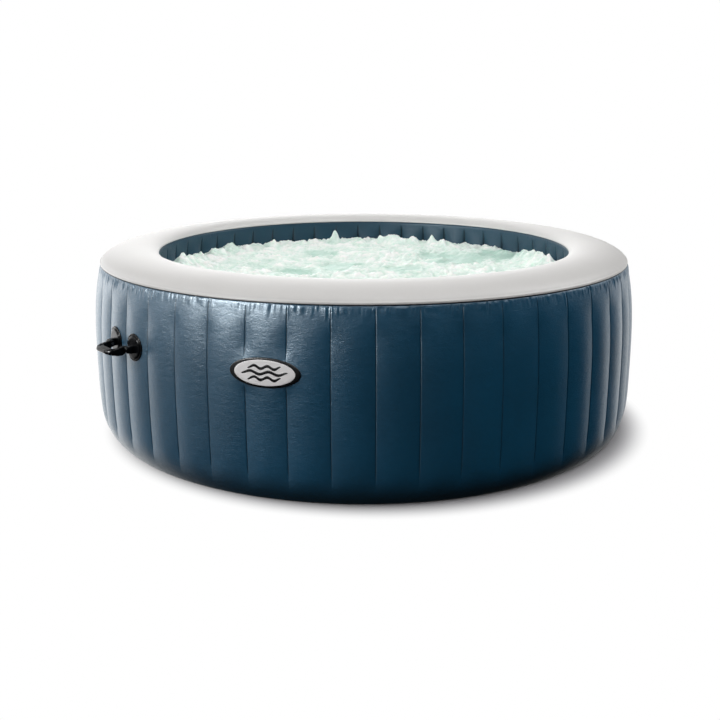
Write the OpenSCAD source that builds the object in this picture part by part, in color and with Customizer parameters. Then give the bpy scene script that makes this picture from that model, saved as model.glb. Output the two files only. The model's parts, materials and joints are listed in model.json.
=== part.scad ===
// Round inflatable hot tub: a ring-shaped air chamber of welded vinyl skins tied by upright webs,
// with carry handles, a bubble channel, water and air ports, a drain and an inflation valve.
// The origin is the middle of the underside, +Z is up and the badge faces -Y.

/* [Tub] */
// Outside diameter over the bulged side wall
tub_diameter = 2160; // [2100:10:2240]
// Height from the ground to the crest of the top ring
tub_height = 710; // [690:5:740]
// Diameter of the opening at the inner top seam
opening_diameter = 1646; // [1620:2:1660]
// Thickness of each laminated vinyl skin
skin = 1.2; // [0.8:0.1:2]
// Upright air panels round the wall
panel_count = 48; // [48]

/* [Carry handles] */
// Height of the round pads' centres above the ground
pad_height = 446; // [420:2:460]
// Diameter of the round pad under each end of a grip
pad_diameter = 95; // [90:1:100]
// Distance that a grip stands out from the wall
grip_reach = 88; // [76:1:96]
// Width of the band that the fingers hold
grip_band = 29; // [24:1:32]

/* [Badge] */
// Height of the badge's middle above the ground
badge_z = 440; // [420:2:460]
// Width of the oval badge over its border
badge_width = 242; // [220:1:260]
// Height of the oval badge over its border
badge_height = 98; // [92:1:110]
// Width of the oval face inside the border
badge_face_width = 206; // [180:1:212]
// Height of the oval face inside the border
badge_face_height = 84; // [70:1:90]

/* [Ports] */
// Radius of the thread on a water port
water_thread_r = 30; // [28:0.5:32]
// Radius of the bore of a water port
water_bore_r = 19; // [17:0.5:20]
// Radius of the thread on the air port
air_thread_r = 22; // [21:0.5:24]
// Radius of the thread on the drain
drain_thread_r = 20; // [19:0.5:21]
// Holes in the bubble strip
jet_count = 120; // [60:12:144]

/* [Hidden] */
$fn = 64;

navy = "#1f3d55";
white = "#f2f1ef";
black = "#17191c";
grey = "#8b9096";
filter_blue = "#dfe8ee";

// Gap left where a moulding lies on a curved skin
seat_gap = 0.2;
tub_r = tub_diameter / 2;
opening_r = opening_diameter / 2;
panel_step = 360 / panel_count;

// Heights of the welds, as the crest of the top ring stands above them
weld = 4;
outer_seam_z = tub_height - 55;
inner_seam_z = tub_height - 33;
seam_r = tub_r - 38;

// How the side wall draws in at the foot and at the shoulder
foot_inset = 44;
foot_rise = 292;
foot_power = 6;
web = 0.6;
channel_wall = 2;
shoulder_start = 102;
shoulder_power = 4.5;
inner_bulge = 10;
inner_flare = 22;

base_r = tub_r - foot_inset + 3;
liner_top = 2 * skin;

// Bubble channel on the floor
channel_inner_r = opening_r - 71;
channel_outer_r = opening_r - 17;
channel_top = 33;
jet_r = 1.5;

// Compass directions of what the wall carries, counterclockwise from +X
badge_angle = -90;
left_handle_angle = badge_angle - 4.5 * panel_step;
right_handle_angle = left_handle_angle + 180;
port_angle = 135;
drain_angle = 120;
valve_angle = 150;

// Handle, measured from the wall's own surface at the pads and from the pivot
pivot_stand = 21;
pivot_drop = 6;
pivot_z = pad_height - pivot_drop;
pin_r = 5;
boss_r = 12;
pad_thick = 7;
boss_near = 60.5;
boss_far = 80;
leg_out = 60;
leg_in = 46;
knuckle_r = 11.5;
corner_r = 34;
rib = 1.6;

// Where the ports and the valve sit, and how far out from the centre line their holes are cut
port_y = 100;
port_z = 150;
air_z = 330;
drain_z = 66;
valve_z = 520;
outer_hole = [tub_r - 60, tub_r + 10];
inner_hole = [opening_r - 60, opening_r + 60];

// Radii of the pipes through the wall, and of the flanges, seals and nuts that clamp them
pipe_r = 24;
port_flange_r = 42;
port_seal_r = 38;
port_nut_r = 36;
air_flange_r = 34;
drain_pipe_r = 16;
drain_flange_r = 30;
drain_seal_r = 26;
drain_nut_r = 25;
drain_nut_thick = 10;
valve_flange_r = 34;
valve_collar_r = 20;
running = 0.05;

// How far the badge's two layers stand out from the wall
badge_patch_top = 1.4;
badge_face_top = 2;

// Water port, along its own axis outwards from the tub's centre line
saddle_face = tub_r + 3;
spigot_start = saddle_face + 8;
spigot_end = spigot_start + 32;
seal_face = opening_r - 25;
nut_face = seal_face - 12;
pipe_end = nut_face - 18;

// Filter that screws over the suction pipe: its case, its wall and the pleated cartridge in it
filter_r = 64;
filter_wall = 4;
cartridge_r = 54;
cartridge_bore_r = 20;
cartridge_length = 78;

// Drain, along its own axis
drain_face = tub_r - 2;
drain_spigot = drain_face + 6;
drain_end = drain_spigot + 16;
drain_seal_face = opening_r - 12;

// Inflation valve, along its own axis
valve_face = tub_r - 6;
valve_collar = valve_face + 10;
valve_top = valve_collar + 12;
valve_seat = valve_face - 38;
spider_x = valve_face - 14;
button_x = valve_top - 6;

// Air duct inside the wall, from the air port down to the bubble channel
duct_r = 15;
duct_bore_r = 12;
duct_bend = 30;
duct_drop_x = tub_r - 120;
duct_low_z = 19.5;
flap_x = tub_r - 12;
flap_z = 16;
flap_cavity_r = 21;
flap_housing_end = tub_r - 44;

function lerp(a, b, t) = a + (b - a) * t;

// Heights from low to high, closer together near both ends
function heights(low, high, steps) = [for (i = [0:steps]) lerp(low, high, (1 - cos(180 * i / steps)) / 2)];

function foot(z) = pow(1 - min(z / foot_rise, 1), foot_power);
function shoulder(z) = pow(max(0, z - shoulder_start) / (outer_seam_z - shoulder_start), shoulder_power);

// Outside radius of the outer wall, and water-side radius of the inner wall, at a height
function outer_r(z) = tub_r - foot_inset * foot(z) - (tub_r - seam_r) * shoulder(z);
function inner_r(z) = opening_r - inner_bulge * sin(180 * z / inner_seam_z) + inner_flare * foot(z);

function reversed(list) = [for (i = [len(list) - 1:-1:0]) list[i]];

// Half-ellipse over the top of the chamber, from the outer weld to the inner one
function dome(inset, steps) = let(
        half = (seam_r - opening_r) / 2,
        tilt = (inner_seam_z - outer_seam_z) / 2,
        crest = tub_height - (outer_seam_z + inner_seam_z) / 2 - weld,
        rise = sqrt(crest * crest - tilt * tilt))
    [for (i = [0:steps]) let(a = 180 * i / steps) [
        seam_r - half + (half - inset) * cos(a),
        lerp(outer_seam_z, inner_seam_z, (1 - cos(a)) / 2) + weld + (rise - inset) * sin(a)]];

function ellipse_outline(width, height, steps) =
    [for (i = [0:steps - 1]) [height / 2 * cos(360 * i / steps), width / 2 * sin(360 * i / steps)]];

// Everything inside the outer wall's surface, grown by a gap
module wall_solid(gap) {
    zs = heights(skin, outer_seam_z, 18);
    rotate_extrude($fn = 240) polygon(concat([[0, skin]],
        [for (z = zs) [outer_r(z) + gap, z]], [[0, outer_seam_z]]));
}

// Everything inside the inner wall's surface, shrunk by a gap
module opening_solid(gap) {
    zs = heights(skin, inner_seam_z, 14);
    rotate_extrude($fn = 240) polygon(concat([[0, skin]],
        [for (z = zs) [inner_r(z) - gap, z]], [[0, inner_seam_z]]));
}

// A ring round Z, from its inner and outer radius and its bottom and top
module ring(r_in, r_out, low, high) {
    rotate_extrude() translate([r_in, low]) square([r_out - r_in, high - low]);
}

// Turns to a direction round the tub, with local +X pointing outwards
module facing(angle, y = 0, z = 0) {
    rotate([0, 0, angle]) translate([0, y, z]) children();
}

// A rod or a tube along local X
module rod(r, from, to, bore = 0) {
    translate([from, 0, 0]) rotate([0, 90, 0]) difference() {
        cylinder(r = r, h = to - from);
        if (bore > 0) translate([0, 0, -1]) cylinder(r = bore, h = to - from + 2);
    }
}

// A rod along local Y
module cross_rod(r, from, to) {
    translate([0, from, 0]) rotate([-90, 0, 0]) cylinder(r = r, h = to - from);
}

// Holes that the ports make in the outer wall
module outer_wall_holes() {
    for (y = [-port_y, port_y]) facing(port_angle, y, port_z) rod(pipe_r, outer_hole[0], outer_hole[1]);
    facing(port_angle, 0, air_z) rod(pipe_r, outer_hole[0], outer_hole[1]);
    facing(drain_angle, 0, drain_z) rod(drain_pipe_r, outer_hole[0], outer_hole[1]);
    facing(valve_angle, 0, valve_z) rod(valve_collar_r, outer_hole[0], outer_hole[1]);
}

module outer_wall() {
    zs = heights(skin, outer_seam_z, 18);
    color(navy) difference() {
        rotate_extrude() polygon(concat([for (z = zs) [outer_r(z), z]],
            [for (z = reversed(zs)) [outer_r(z) - skin, z]]));
        outer_wall_holes();
    }
}

module inner_wall() {
    zs = heights(skin, inner_seam_z, 14);
    color(navy) difference() {
        rotate_extrude() polygon(concat([for (z = zs) [inner_r(z), z]],
            [for (z = reversed(zs)) [inner_r(z) + skin, z]]));
        for (y = [-port_y, port_y]) facing(port_angle, y, port_z)
            rod(pipe_r, inner_hole[0], inner_hole[1]);
        facing(port_angle, 0, duct_low_z) rod(duct_r, inner_hole[0], inner_hole[1]);
        facing(drain_angle, 0, drain_z) rod(drain_pipe_r, inner_hole[0], inner_hole[1]);
    }
}

module top_ring() {
    color(white) rotate_extrude() polygon(concat(dome(0, 24), reversed(dome(skin, 24))));
}

module base_sheet() {
    color(black) cylinder(r = base_r, h = skin);
}

module floor_liner() {
    color(navy) translate([0, 0, skin]) cylinder(r = inner_r(liner_top) - seat_gap, h = skin);
}

module outer_top_weld() {
    color(black) ring(seam_r - 8, seam_r + 2, outer_seam_z, outer_seam_z + weld);
}

module inner_top_weld() {
    color(navy) ring(opening_r - 3, opening_r + 8, inner_seam_z, inner_seam_z + weld);
}

// Thin upright webs that tie the two walls together under each weld line
module beam_webs() {
    zs = heights(30, outer_seam_z - 20, 10);
    inner_edge = [for (z = zs) [inner_r(z) + skin + seat_gap, z]];
    outer_edge = [for (z = reversed(zs)) [outer_r(z) - skin - seat_gap, z]];
    color(white) for (i = [0:panel_count - 1])
        rotate([90, 0, (i + 0.5) * panel_step]) linear_extrude(height = web, center = true)
            polygon(concat(inner_edge, outer_edge));
}

module air_channel() {
    color(navy) difference() {
        ring(channel_inner_r, channel_outer_r, liner_top, channel_top);
        ring(channel_inner_r + channel_wall, channel_outer_r - channel_wall,
            liner_top + channel_wall, channel_top + 1);
        facing(port_angle, 0, duct_low_z) rod(duct_bore_r, channel_outer_r - 20, channel_outer_r + 10);
    }
}

module jet_strip() {
    middle_r = (channel_inner_r + channel_outer_r) / 2;
    color(grey) difference() {
        ring(channel_inner_r, channel_outer_r, channel_top, channel_top + channel_wall);
        for (i = [0:jet_count - 1]) rotate([0, 0, 360 * i / jet_count])
            translate([middle_r, 0, channel_top - 1]) cylinder(r = jet_r, h = channel_wall + 2);
    }
}

// The duct's solid outline at one radius: across, down inside the wall, then in to the channel
module duct_path(r, overshoot) {
    facing(port_angle) {
        translate([0, 0, air_z]) rod(r, duct_drop_x + duct_bend, flap_housing_end + overshoot);
        translate([duct_drop_x + duct_bend, 0, air_z - duct_bend]) rotate([90, 0, 0])
            rotate_extrude(angle = 90, start = 90) translate([duct_bend, 0]) circle(r = r);
        translate([duct_drop_x, 0, duct_low_z + duct_bend])
            cylinder(r = r, h = air_z - duct_low_z - 2 * duct_bend);
        translate([duct_drop_x - duct_bend, 0, duct_low_z + duct_bend]) rotate([90, 0, 0])
            rotate_extrude(angle = 90, start = 270) translate([duct_bend, 0]) circle(r = r);
        translate([0, 0, duct_low_z]) rod(r, channel_outer_r - overshoot - 1, duct_drop_x - duct_bend);
    }
}

module air_duct() {
    color(grey) difference() {
        duct_path(duct_r, 0);
        duct_path(duct_bore_r, 5);
        cylinder(r = channel_outer_r + seat_gap, h = 60);
    }
}

// A shell that follows the outer wall, cut to an oval of the given size
module wall_oval(width, height, near, far) {
    difference() {
        intersection() {
            facing(badge_angle, 0, badge_z) rotate([0, 90, 0])
                linear_extrude(height = tub_r + 40) polygon(ellipse_outline(width, height, 72));
            wall_solid(far);
        }
        wall_solid(near);
    }
}

module badge_patch() {
    color(black) wall_oval(badge_width, badge_height, seat_gap, badge_patch_top);
}

module badge_face() {
    color(white) wall_oval(badge_face_width, badge_face_height, badge_patch_top, badge_face_top);
}

// Pad and pivot boss for one end of a grip; side is -1 or 1
module handle_pad(handle_angle, side) {
    surface = outer_r(pad_height);
    color(black) difference() {
        union() {
            facing(handle_angle + side * panel_step / 2, 0, pad_height) {
                rod(pad_diameter / 2, surface - 20, surface + pad_thick - 3);
                rod(pad_diameter / 2 - 7, surface - 20, surface + pad_thick);
            }
            at_pivot(handle_angle) mirror([0, side < 0 ? 1 : 0, 0]) {
                cross_rod(boss_r, boss_near, boss_far);
                translate([-pivot_stand, boss_near, -boss_r])
                    cube([pivot_stand, boss_far - boss_near, 2 * boss_r]);
            }
        }
        wall_solid(seat_gap);
        at_pivot(handle_angle) mirror([0, side < 0 ? 1 : 0, 0])
            cross_rod(pin_r + running, boss_near - 1, boss_far - 3);
    }
}

// Local frame at a handle's pivot line, with +X outwards and +Y along the wall
module at_pivot(handle_angle) {
    facing(handle_angle, 0, pivot_z) translate([outer_r(pad_height) + pivot_stand, 0, 0]) children();
}

// Grip seen from above: a U whose two legs end at the pivot line
module grip_plan(reach, width, radius, start) {
    difference() {
        union() {
            translate([start, -width]) square([reach - radius - start, 2 * width]);
            translate([0, radius - width]) square([reach, 2 * (width - radius)]);
            for (side = [-1, 1]) translate([reach - radius, side * (width - radius)]) circle(r = radius);
        }
        translate([start - 2 * radius, -2 * width]) square([2 * radius, 4 * width]);
    }
}

module grip(handle_angle) {
    reach = grip_reach - pivot_stand;
    color(black) at_pivot(handle_angle) difference() {
        union() {
            intersection() {
                translate([0, 0, -40]) linear_extrude(height = 80) difference() {
                    grip_plan(reach, leg_out, corner_r, 0);
                    grip_plan(reach - grip_band, leg_in, corner_r - 14, -1);
                }
                rotate([90, 0, 0]) translate([0, 0, -70]) linear_extrude(height = 140)
                    polygon([[-1, 11.5], [6, 13], [30, 5], [reach + 1, 1], [reach + 1, -11],
                        [38, -19], [14, -20], [4, -14], [-1, -11.5]]);
            }
            for (side = [0, 1]) mirror([0, side, 0]) cross_rod(knuckle_r, leg_in, leg_out);
            for (i = [0:3]) let(back = 3 + 7 * i) linear_extrude(height = 3.4) difference() {
                grip_plan(reach - back, leg_out - back / 2, corner_r - back, reach - 30);
                grip_plan(reach - back - rib, leg_out - back / 2 - rib,
                    corner_r - back - rib, reach - 31);
            }
        }
        for (side = [0, 1]) mirror([0, side, 0]) cross_rod(pin_r, leg_in - 1, leg_out + 1);
    }
}

module grip_pins(handle_angle) {
    color(grey) at_pivot(handle_angle)
        for (side = [0, 1]) mirror([0, side, 0]) cross_rod(pin_r, leg_in, boss_far - 4);
}

module water_port(y) {
    color(black) facing(port_angle, y, port_z) difference() {
        union() {
            rod(pipe_r, pipe_end, saddle_face);
            rod(port_flange_r, saddle_face, spigot_start);
            rod(water_thread_r, spigot_start, spigot_end);
        }
        rod(water_bore_r, pipe_end - 1, spigot_end + 1);
    }
}

// Moulded seat that fills the space between the curved wall and a port's flat flange
module saddle(angle, y, z, r, bore, face) {
    color(black) difference() {
        facing(angle, y, z) rod(r, face - 40, face, bore + seat_gap);
        wall_solid(seat_gap);
    }
}

module inner_seal(angle, y, z, r, bore, face) {
    color(black) intersection() {
        facing(angle, y, z) rod(r, face, face + 40, bore);
        opening_solid(seat_gap);
    }
}

module octagon_nut(angle, y, z, r, bore, from, to) {
    color(grey) facing(angle, y, z) difference() {
        translate([from, 0, 0]) rotate([0, 90, 0]) cylinder(r = r, h = to - from, $fn = 8);
        rod(bore, from - 1, to + 1);
    }
}

module return_grille() {
    color(grey) facing(port_angle, -port_y, port_z) difference() {
        union() {
            rod(32, pipe_end, nut_face - 1, pipe_r);
            rod(40, pipe_end - 5, pipe_end);
        }
        for (i = [-3:3]) translate([pipe_end - 6, -14, i * 7 - 1.75]) cube([8, 28, 3.5]);
    }
}

module filter_base() {
    color(grey) facing(port_angle, port_y, port_z) {
        rod(filter_r, pipe_end + 2, nut_face - 1, pipe_r);
        rod(filter_r, pipe_end - 10, pipe_end + 2, filter_r - filter_wall);
    }
}

module filter_cartridge() {
    color(filter_blue) facing(port_angle, port_y, port_z) difference() {
        rod(cartridge_r, pipe_end - cartridge_length, pipe_end - 0.5, cartridge_bore_r);
        for (i = [0:23]) rotate([15 * i, 0, 0]) translate([pipe_end - 72, -1.5, 46]) cube([66, 3, 12]);
    }
}

module filter_cover() {
    far = pipe_end - cartridge_length - 10;
    color(grey) facing(port_angle, port_y, port_z) difference() {
        rod(filter_r, far, pipe_end - 10.5);
        rod(filter_r - filter_wall, far + filter_wall, pipe_end);
        for (i = [0:11]) rotate([30 * i, 0, 0]) translate([far + 16, -6, 50]) cube([48, 12, 20]);
        for (i = [0:5]) rotate([60 * i, 0, 0]) translate([far - 1, -4, 18]) cube([6, 8, 30]);
    }
}

module air_port() {
    color(black) facing(port_angle, 0, air_z) difference() {
        union() {
            rod(pipe_r, flap_housing_end, saddle_face);
            rod(air_flange_r, saddle_face, spigot_start);
            rod(air_thread_r, spigot_start, spigot_end - 8);
        }
        rod(14, flap_x + 1, spigot_end);
        rod(flap_cavity_r, flap_housing_end + 4, flap_x + 2.5);
        rod(duct_bore_r, flap_housing_end - 1, flap_housing_end + 5);
        translate([flap_x - 1, 0, flap_z]) cross_rod(1.5, -15.5, 15.5);
    }
}

module check_flap() {
    color(grey) facing(port_angle, 0, air_z) difference() {
        union() {
            rod(16, flap_x, flap_x + 2.2);
            translate([flap_x - 1, 0, flap_z]) cross_rod(2.8, -5, 5);
            translate([flap_x - 1, -5, 10]) cube([3, 10, 6]);
        }
        translate([flap_x - 1, 0, flap_z]) cross_rod(1.5 + running, -6, 6);
    }
}

module flap_pin() {
    color(grey) facing(port_angle, 0, air_z) translate([flap_x - 1, 0, flap_z])
        cross_rod(1.5, -15.5, 15.5);
}

module drain_port() {
    color(black) facing(drain_angle, 0, drain_z) difference() {
        union() {
            rod(drain_pipe_r, drain_seal_face - 16, drain_face);
            rod(drain_flange_r, drain_face, drain_spigot);
            rod(drain_thread_r, drain_spigot, drain_end);
        }
        rod(11, drain_seal_face - 17, drain_end + 1);
    }
}

module drain_strainer() {
    start = drain_seal_face - 24;
    color(grey) facing(drain_angle, 0, drain_z) difference() {
        rod(20, start, start + 13.5);
        rod(16, start + 3, start + 20);
        for (i = [-1:1]) translate([start - 2, -10, i * 8 - 1.5]) cube([6, 20, 3]);
    }
}

// A screw cap: a lip and a neck for the tether ring, then finger flats and a closed end
module screw_cap(r, bore, from, to, wall, neck, flats) {
    color(black) difference() {
        union() {
            rod(r, from, from + 1.6);
            rod(r - neck, from, from + 6);
            rod(r, from + 6, to);
        }
        rod(bore, from - 1, to - wall);
        for (i = [0:flats - 1]) rotate([360 * i / flats, 0, 0])
            translate([from + 7.5, 0, r + 1]) rod(2.2, 0, to - from);
    }
}

// The tether's ring, loose on the neck of a cap
module cap_ring(r, neck, from) {
    color(grey) rod(r + 1.5, from + 2, from + 5.6, r - neck + 0.4);
}

module drain_cap() {
    facing(drain_angle, 0, drain_z)
        screw_cap(drain_thread_r + 5, drain_thread_r + 0.3, drain_spigot + 3, drain_end + 5, 3, 2.6, 12);
}

module drain_cap_ring() {
    facing(drain_angle, 0, drain_z) cap_ring(drain_thread_r + 5, 2.6, drain_spigot + 3);
}

module drain_cap_seal() {
    color(grey) facing(drain_angle, 0, drain_z) rod(drain_thread_r - 2, drain_end + 0.4, drain_end + 2);
}

module valve_boss() {
    color(black) difference() {
        facing(valve_angle, 0, valve_z) rod(valve_flange_r, valve_face - 30, valve_face);
        wall_solid(seat_gap);
        facing(valve_angle, 0, valve_z) rod(15, valve_face - 60, valve_face + 20);
    }
    color(black) facing(valve_angle, 0, valve_z) {
        rod(valve_collar_r, valve_face, valve_collar, 15);
        rod(valve_collar_r, valve_face - 30, valve_face, 15);
    }
}

module valve_insert() {
    color(grey) facing(valve_angle, 0, valve_z) {
        rod(15, valve_seat, valve_collar, 11);
        rod(19, valve_collar, valve_collar + 3, 11);
        rod(14, valve_collar + 3, valve_top, 11);
        difference() {
            rod(11.5, spider_x, spider_x + 3, 3 + running);
            for (i = [0:2]) rotate([120 * i, 0, 0])
                translate([0, 0, 7]) rod(2.6, spider_x - 1, spider_x + 4);
        }
    }
}

module valve_plunger() {
    color(white) facing(valve_angle, 0, valve_z) {
        rod(3, valve_seat - 2.5, button_x);
        rod(6.5, button_x, button_x + 3);
        rod(13, valve_seat - 5, valve_seat - 2.5);
    }
}

module valve_plunger_seal() {
    color(black) facing(valve_angle, 0, valve_z) rod(13, valve_seat - 2.5, valve_seat - 0.3, 3);
}

// Coil spring between the spider and the button, swept along a helix
module valve_spring() {
    turns = 6;
    sides = 6;
    wire = 0.6;
    coil_r = 4.6;
    steps = turns * 14;
    start = spider_x + 3 + wire;
    length = button_x - spider_x - 3 - 2 * wire;
    points = [for (i = [0:steps]) let(a = 360 * turns * i / steps, x = start + length * i / steps)
        for (k = [0:sides - 1]) let(b = 360 * k / sides, r = coil_r + wire * cos(b))
            [x + wire * sin(b), r * cos(a), r * sin(a)]];
    sides_faces = [for (i = [0:steps - 1], k = [0:sides - 1]) let(n = (k + 1) % sides)
        [i * sides + k, i * sides + n, (i + 1) * sides + n, (i + 1) * sides + k]];
    ends = [reversed([for (k = [0:sides - 1]) k]), [for (k = [0:sides - 1]) steps * sides + k]];
    color(grey) facing(valve_angle, 0, valve_z) polyhedron(points, concat(sides_faces, ends));
}

module valve_cap() {
    facing(valve_angle, 0, valve_z)
        screw_cap(18, 14.3, valve_collar + 3.4, valve_top + 4.9, 3, 2, 10);
}

module valve_cap_ring() {
    facing(valve_angle, 0, valve_z) cap_ring(18, 2, valve_collar + 3.4);
}

module valve_cap_seal() {
    color(grey) facing(valve_angle, 0, valve_z) rod(13.5, valve_top + 0.4, valve_top + 1.9, 9);
}

outer_wall();
inner_wall();
top_ring();
base_sheet();
floor_liner();
outer_top_weld();
inner_top_weld();
beam_webs();
air_channel();
jet_strip();
air_duct();
badge_patch();
badge_face();
handle_pad(left_handle_angle, 1);  // left_front_pad
handle_pad(left_handle_angle, -1);  // left_rear_pad
grip(left_handle_angle);  // left_grip
grip_pins(left_handle_angle);  // left_grip_pins
handle_pad(right_handle_angle, -1);  // right_front_pad
handle_pad(right_handle_angle, 1);  // right_rear_pad
grip(right_handle_angle);  // right_grip
grip_pins(right_handle_angle);  // right_grip_pins
water_port(port_y);  // suction_port
saddle(port_angle, port_y, port_z, port_flange_r, pipe_r, saddle_face);  // suction_saddle
inner_seal(port_angle, port_y, port_z, port_seal_r, pipe_r, seal_face);  // suction_seal
octagon_nut(port_angle, port_y, port_z, port_nut_r, pipe_r, nut_face, seal_face);  // suction_nut
water_port(-port_y);  // return_port
saddle(port_angle, -port_y, port_z, port_flange_r, pipe_r, saddle_face);  // return_saddle
inner_seal(port_angle, -port_y, port_z, port_seal_r, pipe_r, seal_face);  // return_seal
octagon_nut(port_angle, -port_y, port_z, port_nut_r, pipe_r, nut_face, seal_face);  // return_nut
return_grille();
filter_base();
filter_cartridge();
filter_cover();
air_port();
saddle(port_angle, 0, air_z, air_flange_r, pipe_r, saddle_face);  // air_saddle
check_flap();
flap_pin();
drain_port();
saddle(drain_angle, 0, drain_z, drain_flange_r, drain_pipe_r, drain_face);  // drain_saddle
inner_seal(drain_angle, 0, drain_z, drain_seal_r, drain_pipe_r, drain_seal_face);  // drain_inner_seal
octagon_nut(drain_angle, 0, drain_z, drain_nut_r, drain_pipe_r,  // drain_nut
        drain_seal_face - drain_nut_thick, drain_seal_face);
drain_strainer();
drain_cap_ring();
drain_cap();
drain_cap_seal();
valve_boss();
valve_insert();
valve_plunger();
valve_plunger_seal();
valve_spring();
valve_cap_ring();
valve_cap();
valve_cap_seal();
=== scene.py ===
import json
import math

import bpy
import numpy as np
from mathutils import Matrix, Vector, noise
from numpy import cos, pi, sin


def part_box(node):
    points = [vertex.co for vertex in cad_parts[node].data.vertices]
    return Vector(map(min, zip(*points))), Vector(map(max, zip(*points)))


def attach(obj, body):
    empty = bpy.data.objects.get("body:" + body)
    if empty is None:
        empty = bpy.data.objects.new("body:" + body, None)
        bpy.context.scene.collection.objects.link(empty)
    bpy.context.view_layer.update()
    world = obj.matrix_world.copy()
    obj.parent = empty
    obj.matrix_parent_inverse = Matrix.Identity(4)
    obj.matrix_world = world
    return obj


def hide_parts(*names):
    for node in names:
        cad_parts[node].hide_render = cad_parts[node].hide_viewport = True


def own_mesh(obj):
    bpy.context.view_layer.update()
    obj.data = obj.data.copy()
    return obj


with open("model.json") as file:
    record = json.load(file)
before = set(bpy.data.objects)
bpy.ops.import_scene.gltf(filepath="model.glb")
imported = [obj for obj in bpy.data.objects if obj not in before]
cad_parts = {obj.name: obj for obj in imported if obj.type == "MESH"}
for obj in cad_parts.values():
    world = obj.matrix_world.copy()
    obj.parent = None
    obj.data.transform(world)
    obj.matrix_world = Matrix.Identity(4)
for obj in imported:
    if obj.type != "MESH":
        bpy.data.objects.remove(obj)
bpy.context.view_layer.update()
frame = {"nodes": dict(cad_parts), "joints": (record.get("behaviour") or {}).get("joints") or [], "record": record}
MM = 0.001

# ---- sizes taken from the frame


def joint_named(name):
    """The record's joint of a name."""
    return next(joint for joint in frame["joints"] if joint["name"] == name)


def joint_point(name):
    """The named joint's point, in metres."""
    return Vector(joint_named(name)["pos_m"])


def joint_axis(name):
    """The named joint's axis, as a unit vector."""
    return Vector(joint_named(name)["axis"]).normalized()


def radii(node):
    """Smallest and largest distance of a CAD node's points from the tub's axis, in metres."""
    vertices = frame["nodes"][node].data.vertices
    distances = [math.hypot(v.co.x, v.co.y) for v in vertices]
    return min(distances), max(distances)


def half_sizes(node):
    """Half of a CAD node's width along X and half of its height, in metres."""
    low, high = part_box(node)
    return (high.x - low.x) / 2, (high.z - low.z) / 2


TUB_R = radii("outer_wall")[1]
TUB_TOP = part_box("top_ring")[1].z
OPENING_R = radii("top_ring")[0]
SEAM_R = radii("top_ring")[1]
OUTER_SEAM_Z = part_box("outer_wall")[1].z
INNER_SEAM_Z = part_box("inner_wall")[1].z
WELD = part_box("outer_top_weld")[1].z - OUTER_SEAM_Z
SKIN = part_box("base_sheet")[1].z
BADGE_Z = sum(corner.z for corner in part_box("badge_patch")) / 2
BADGE_HALF_WIDTH, BADGE_HALF_HEIGHT = half_sizes("badge_patch")
FACE_HALF_WIDTH, FACE_HALF_HEIGHT = half_sizes("badge_face")

# The side wall's upright panels; a panel is centred on -Y, where the badge is
PANELS = 48
PANEL_STEP = 2 * pi / PANELS
BADGE_ANGLE = -pi / 2

# How the wall draws in at its foot and shoulder, and how deep the seams lie between the lobes
FOOT_INSET = 44 * MM
FOOT_RISE = 292 * MM
FOOT_POWER = 6
SHOULDER_START = 102 * MM
SHOULDER_POWER = 4.5
INNER_BULGE = 10 * MM
INNER_FLARE = 22 * MM
LOBE_DEPTH = 7.5 * MM
INNER_LOBE_DEPTH = 14 * MM
SEAM_WIDTH = 1.6 * MM
SEAM_GROOVE = 1.6 * MM
PUCKER_HEIGHT = 2.6 * MM

PANEL_HALF_WIDTH = TUB_R * PANEL_STEP / 2
FLANGE_MARGIN = 38 * MM

# The flat lip along the top ring's welds
LIP_DEPTH = 2.2 * MM
LIP_HEIGHT = 7 * MM
RING_SWELL = 0.8 * MM

WATER_LEVEL = 0.596
WATER_DEPTH = 110 * MM

# ---- small numeric helpers


def smooth(low, high, value):
    """0 below low, 1 above high, and an even curve between; low may be the larger one."""
    t = np.clip((np.asarray(value, float) - low) / (high - low), 0, 1)
    return t * t * (3 - 2 * t)


def noise_at(x, y, size, layer):
    """Perlin noise from -1 to 1 at each point of two arrays, with bumps about a size apart."""
    x, y = np.broadcast_arrays(np.asarray(x, float) / size, np.asarray(y, float) / size)
    values = [noise.noise((u, v, layer)) for u, v in zip(x.ravel().tolist(), y.ravel().tolist())]
    return np.array(values).reshape(x.shape)


def arc_spaced(low, high, count):
    """Values from low to high, closer together at both ends."""
    return low + (high - low) * (1 - cos(np.linspace(0, pi, count))) / 2


def circle(count):
    """Evenly spaced angles once round."""
    return np.linspace(0, 2 * pi, count, endpoint=False)


def stations(start, *stops):
    """Heights from start through each stop, which is a height and the number of steps up to it."""
    heights = [np.array([start])]
    for stop, steps in stops:
        heights.append(np.linspace(heights[-1][-1], stop, steps + 1)[1:])
    return np.concatenate(heights)


def offset(x, r, steps):
    """Profile points at distances in millimetres from a corner at (x, r)."""
    return [(x + along * MM, r + out * MM) for along, out in steps]


# ---- mesh helpers


def new_object(name, data):
    """An object of a mesh, lamp or camera, linked to the scene."""
    obj = bpy.data.objects.new(name, data)
    bpy.context.scene.collection.objects.link(obj)
    return obj


def add_mesh(name, points, faces):
    """A smooth-shaded object from points and a list of faces."""
    mesh = bpy.data.meshes.new(name)
    mesh.from_pydata(points, [], faces)
    mesh.polygons.foreach_set("use_smooth", np.ones(len(faces), bool))
    mesh.update()
    return new_object(name, mesh)


def grid_faces(rows, columns, wrap_rows, wrap_columns):
    """Quads over a grid of points that are stored row after row."""
    row = np.arange(rows if wrap_rows else rows - 1)
    column = np.arange(columns if wrap_columns else columns - 1)
    r, c = np.meshgrid(row, column, indexing="ij")
    next_r, next_c = (r + 1) % rows, (c + 1) % columns
    quads = [r * columns + c, r * columns + next_c, next_r * columns + next_c, next_r * columns + c]
    return np.stack(quads, -1).reshape(-1, 4).tolist()


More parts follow.
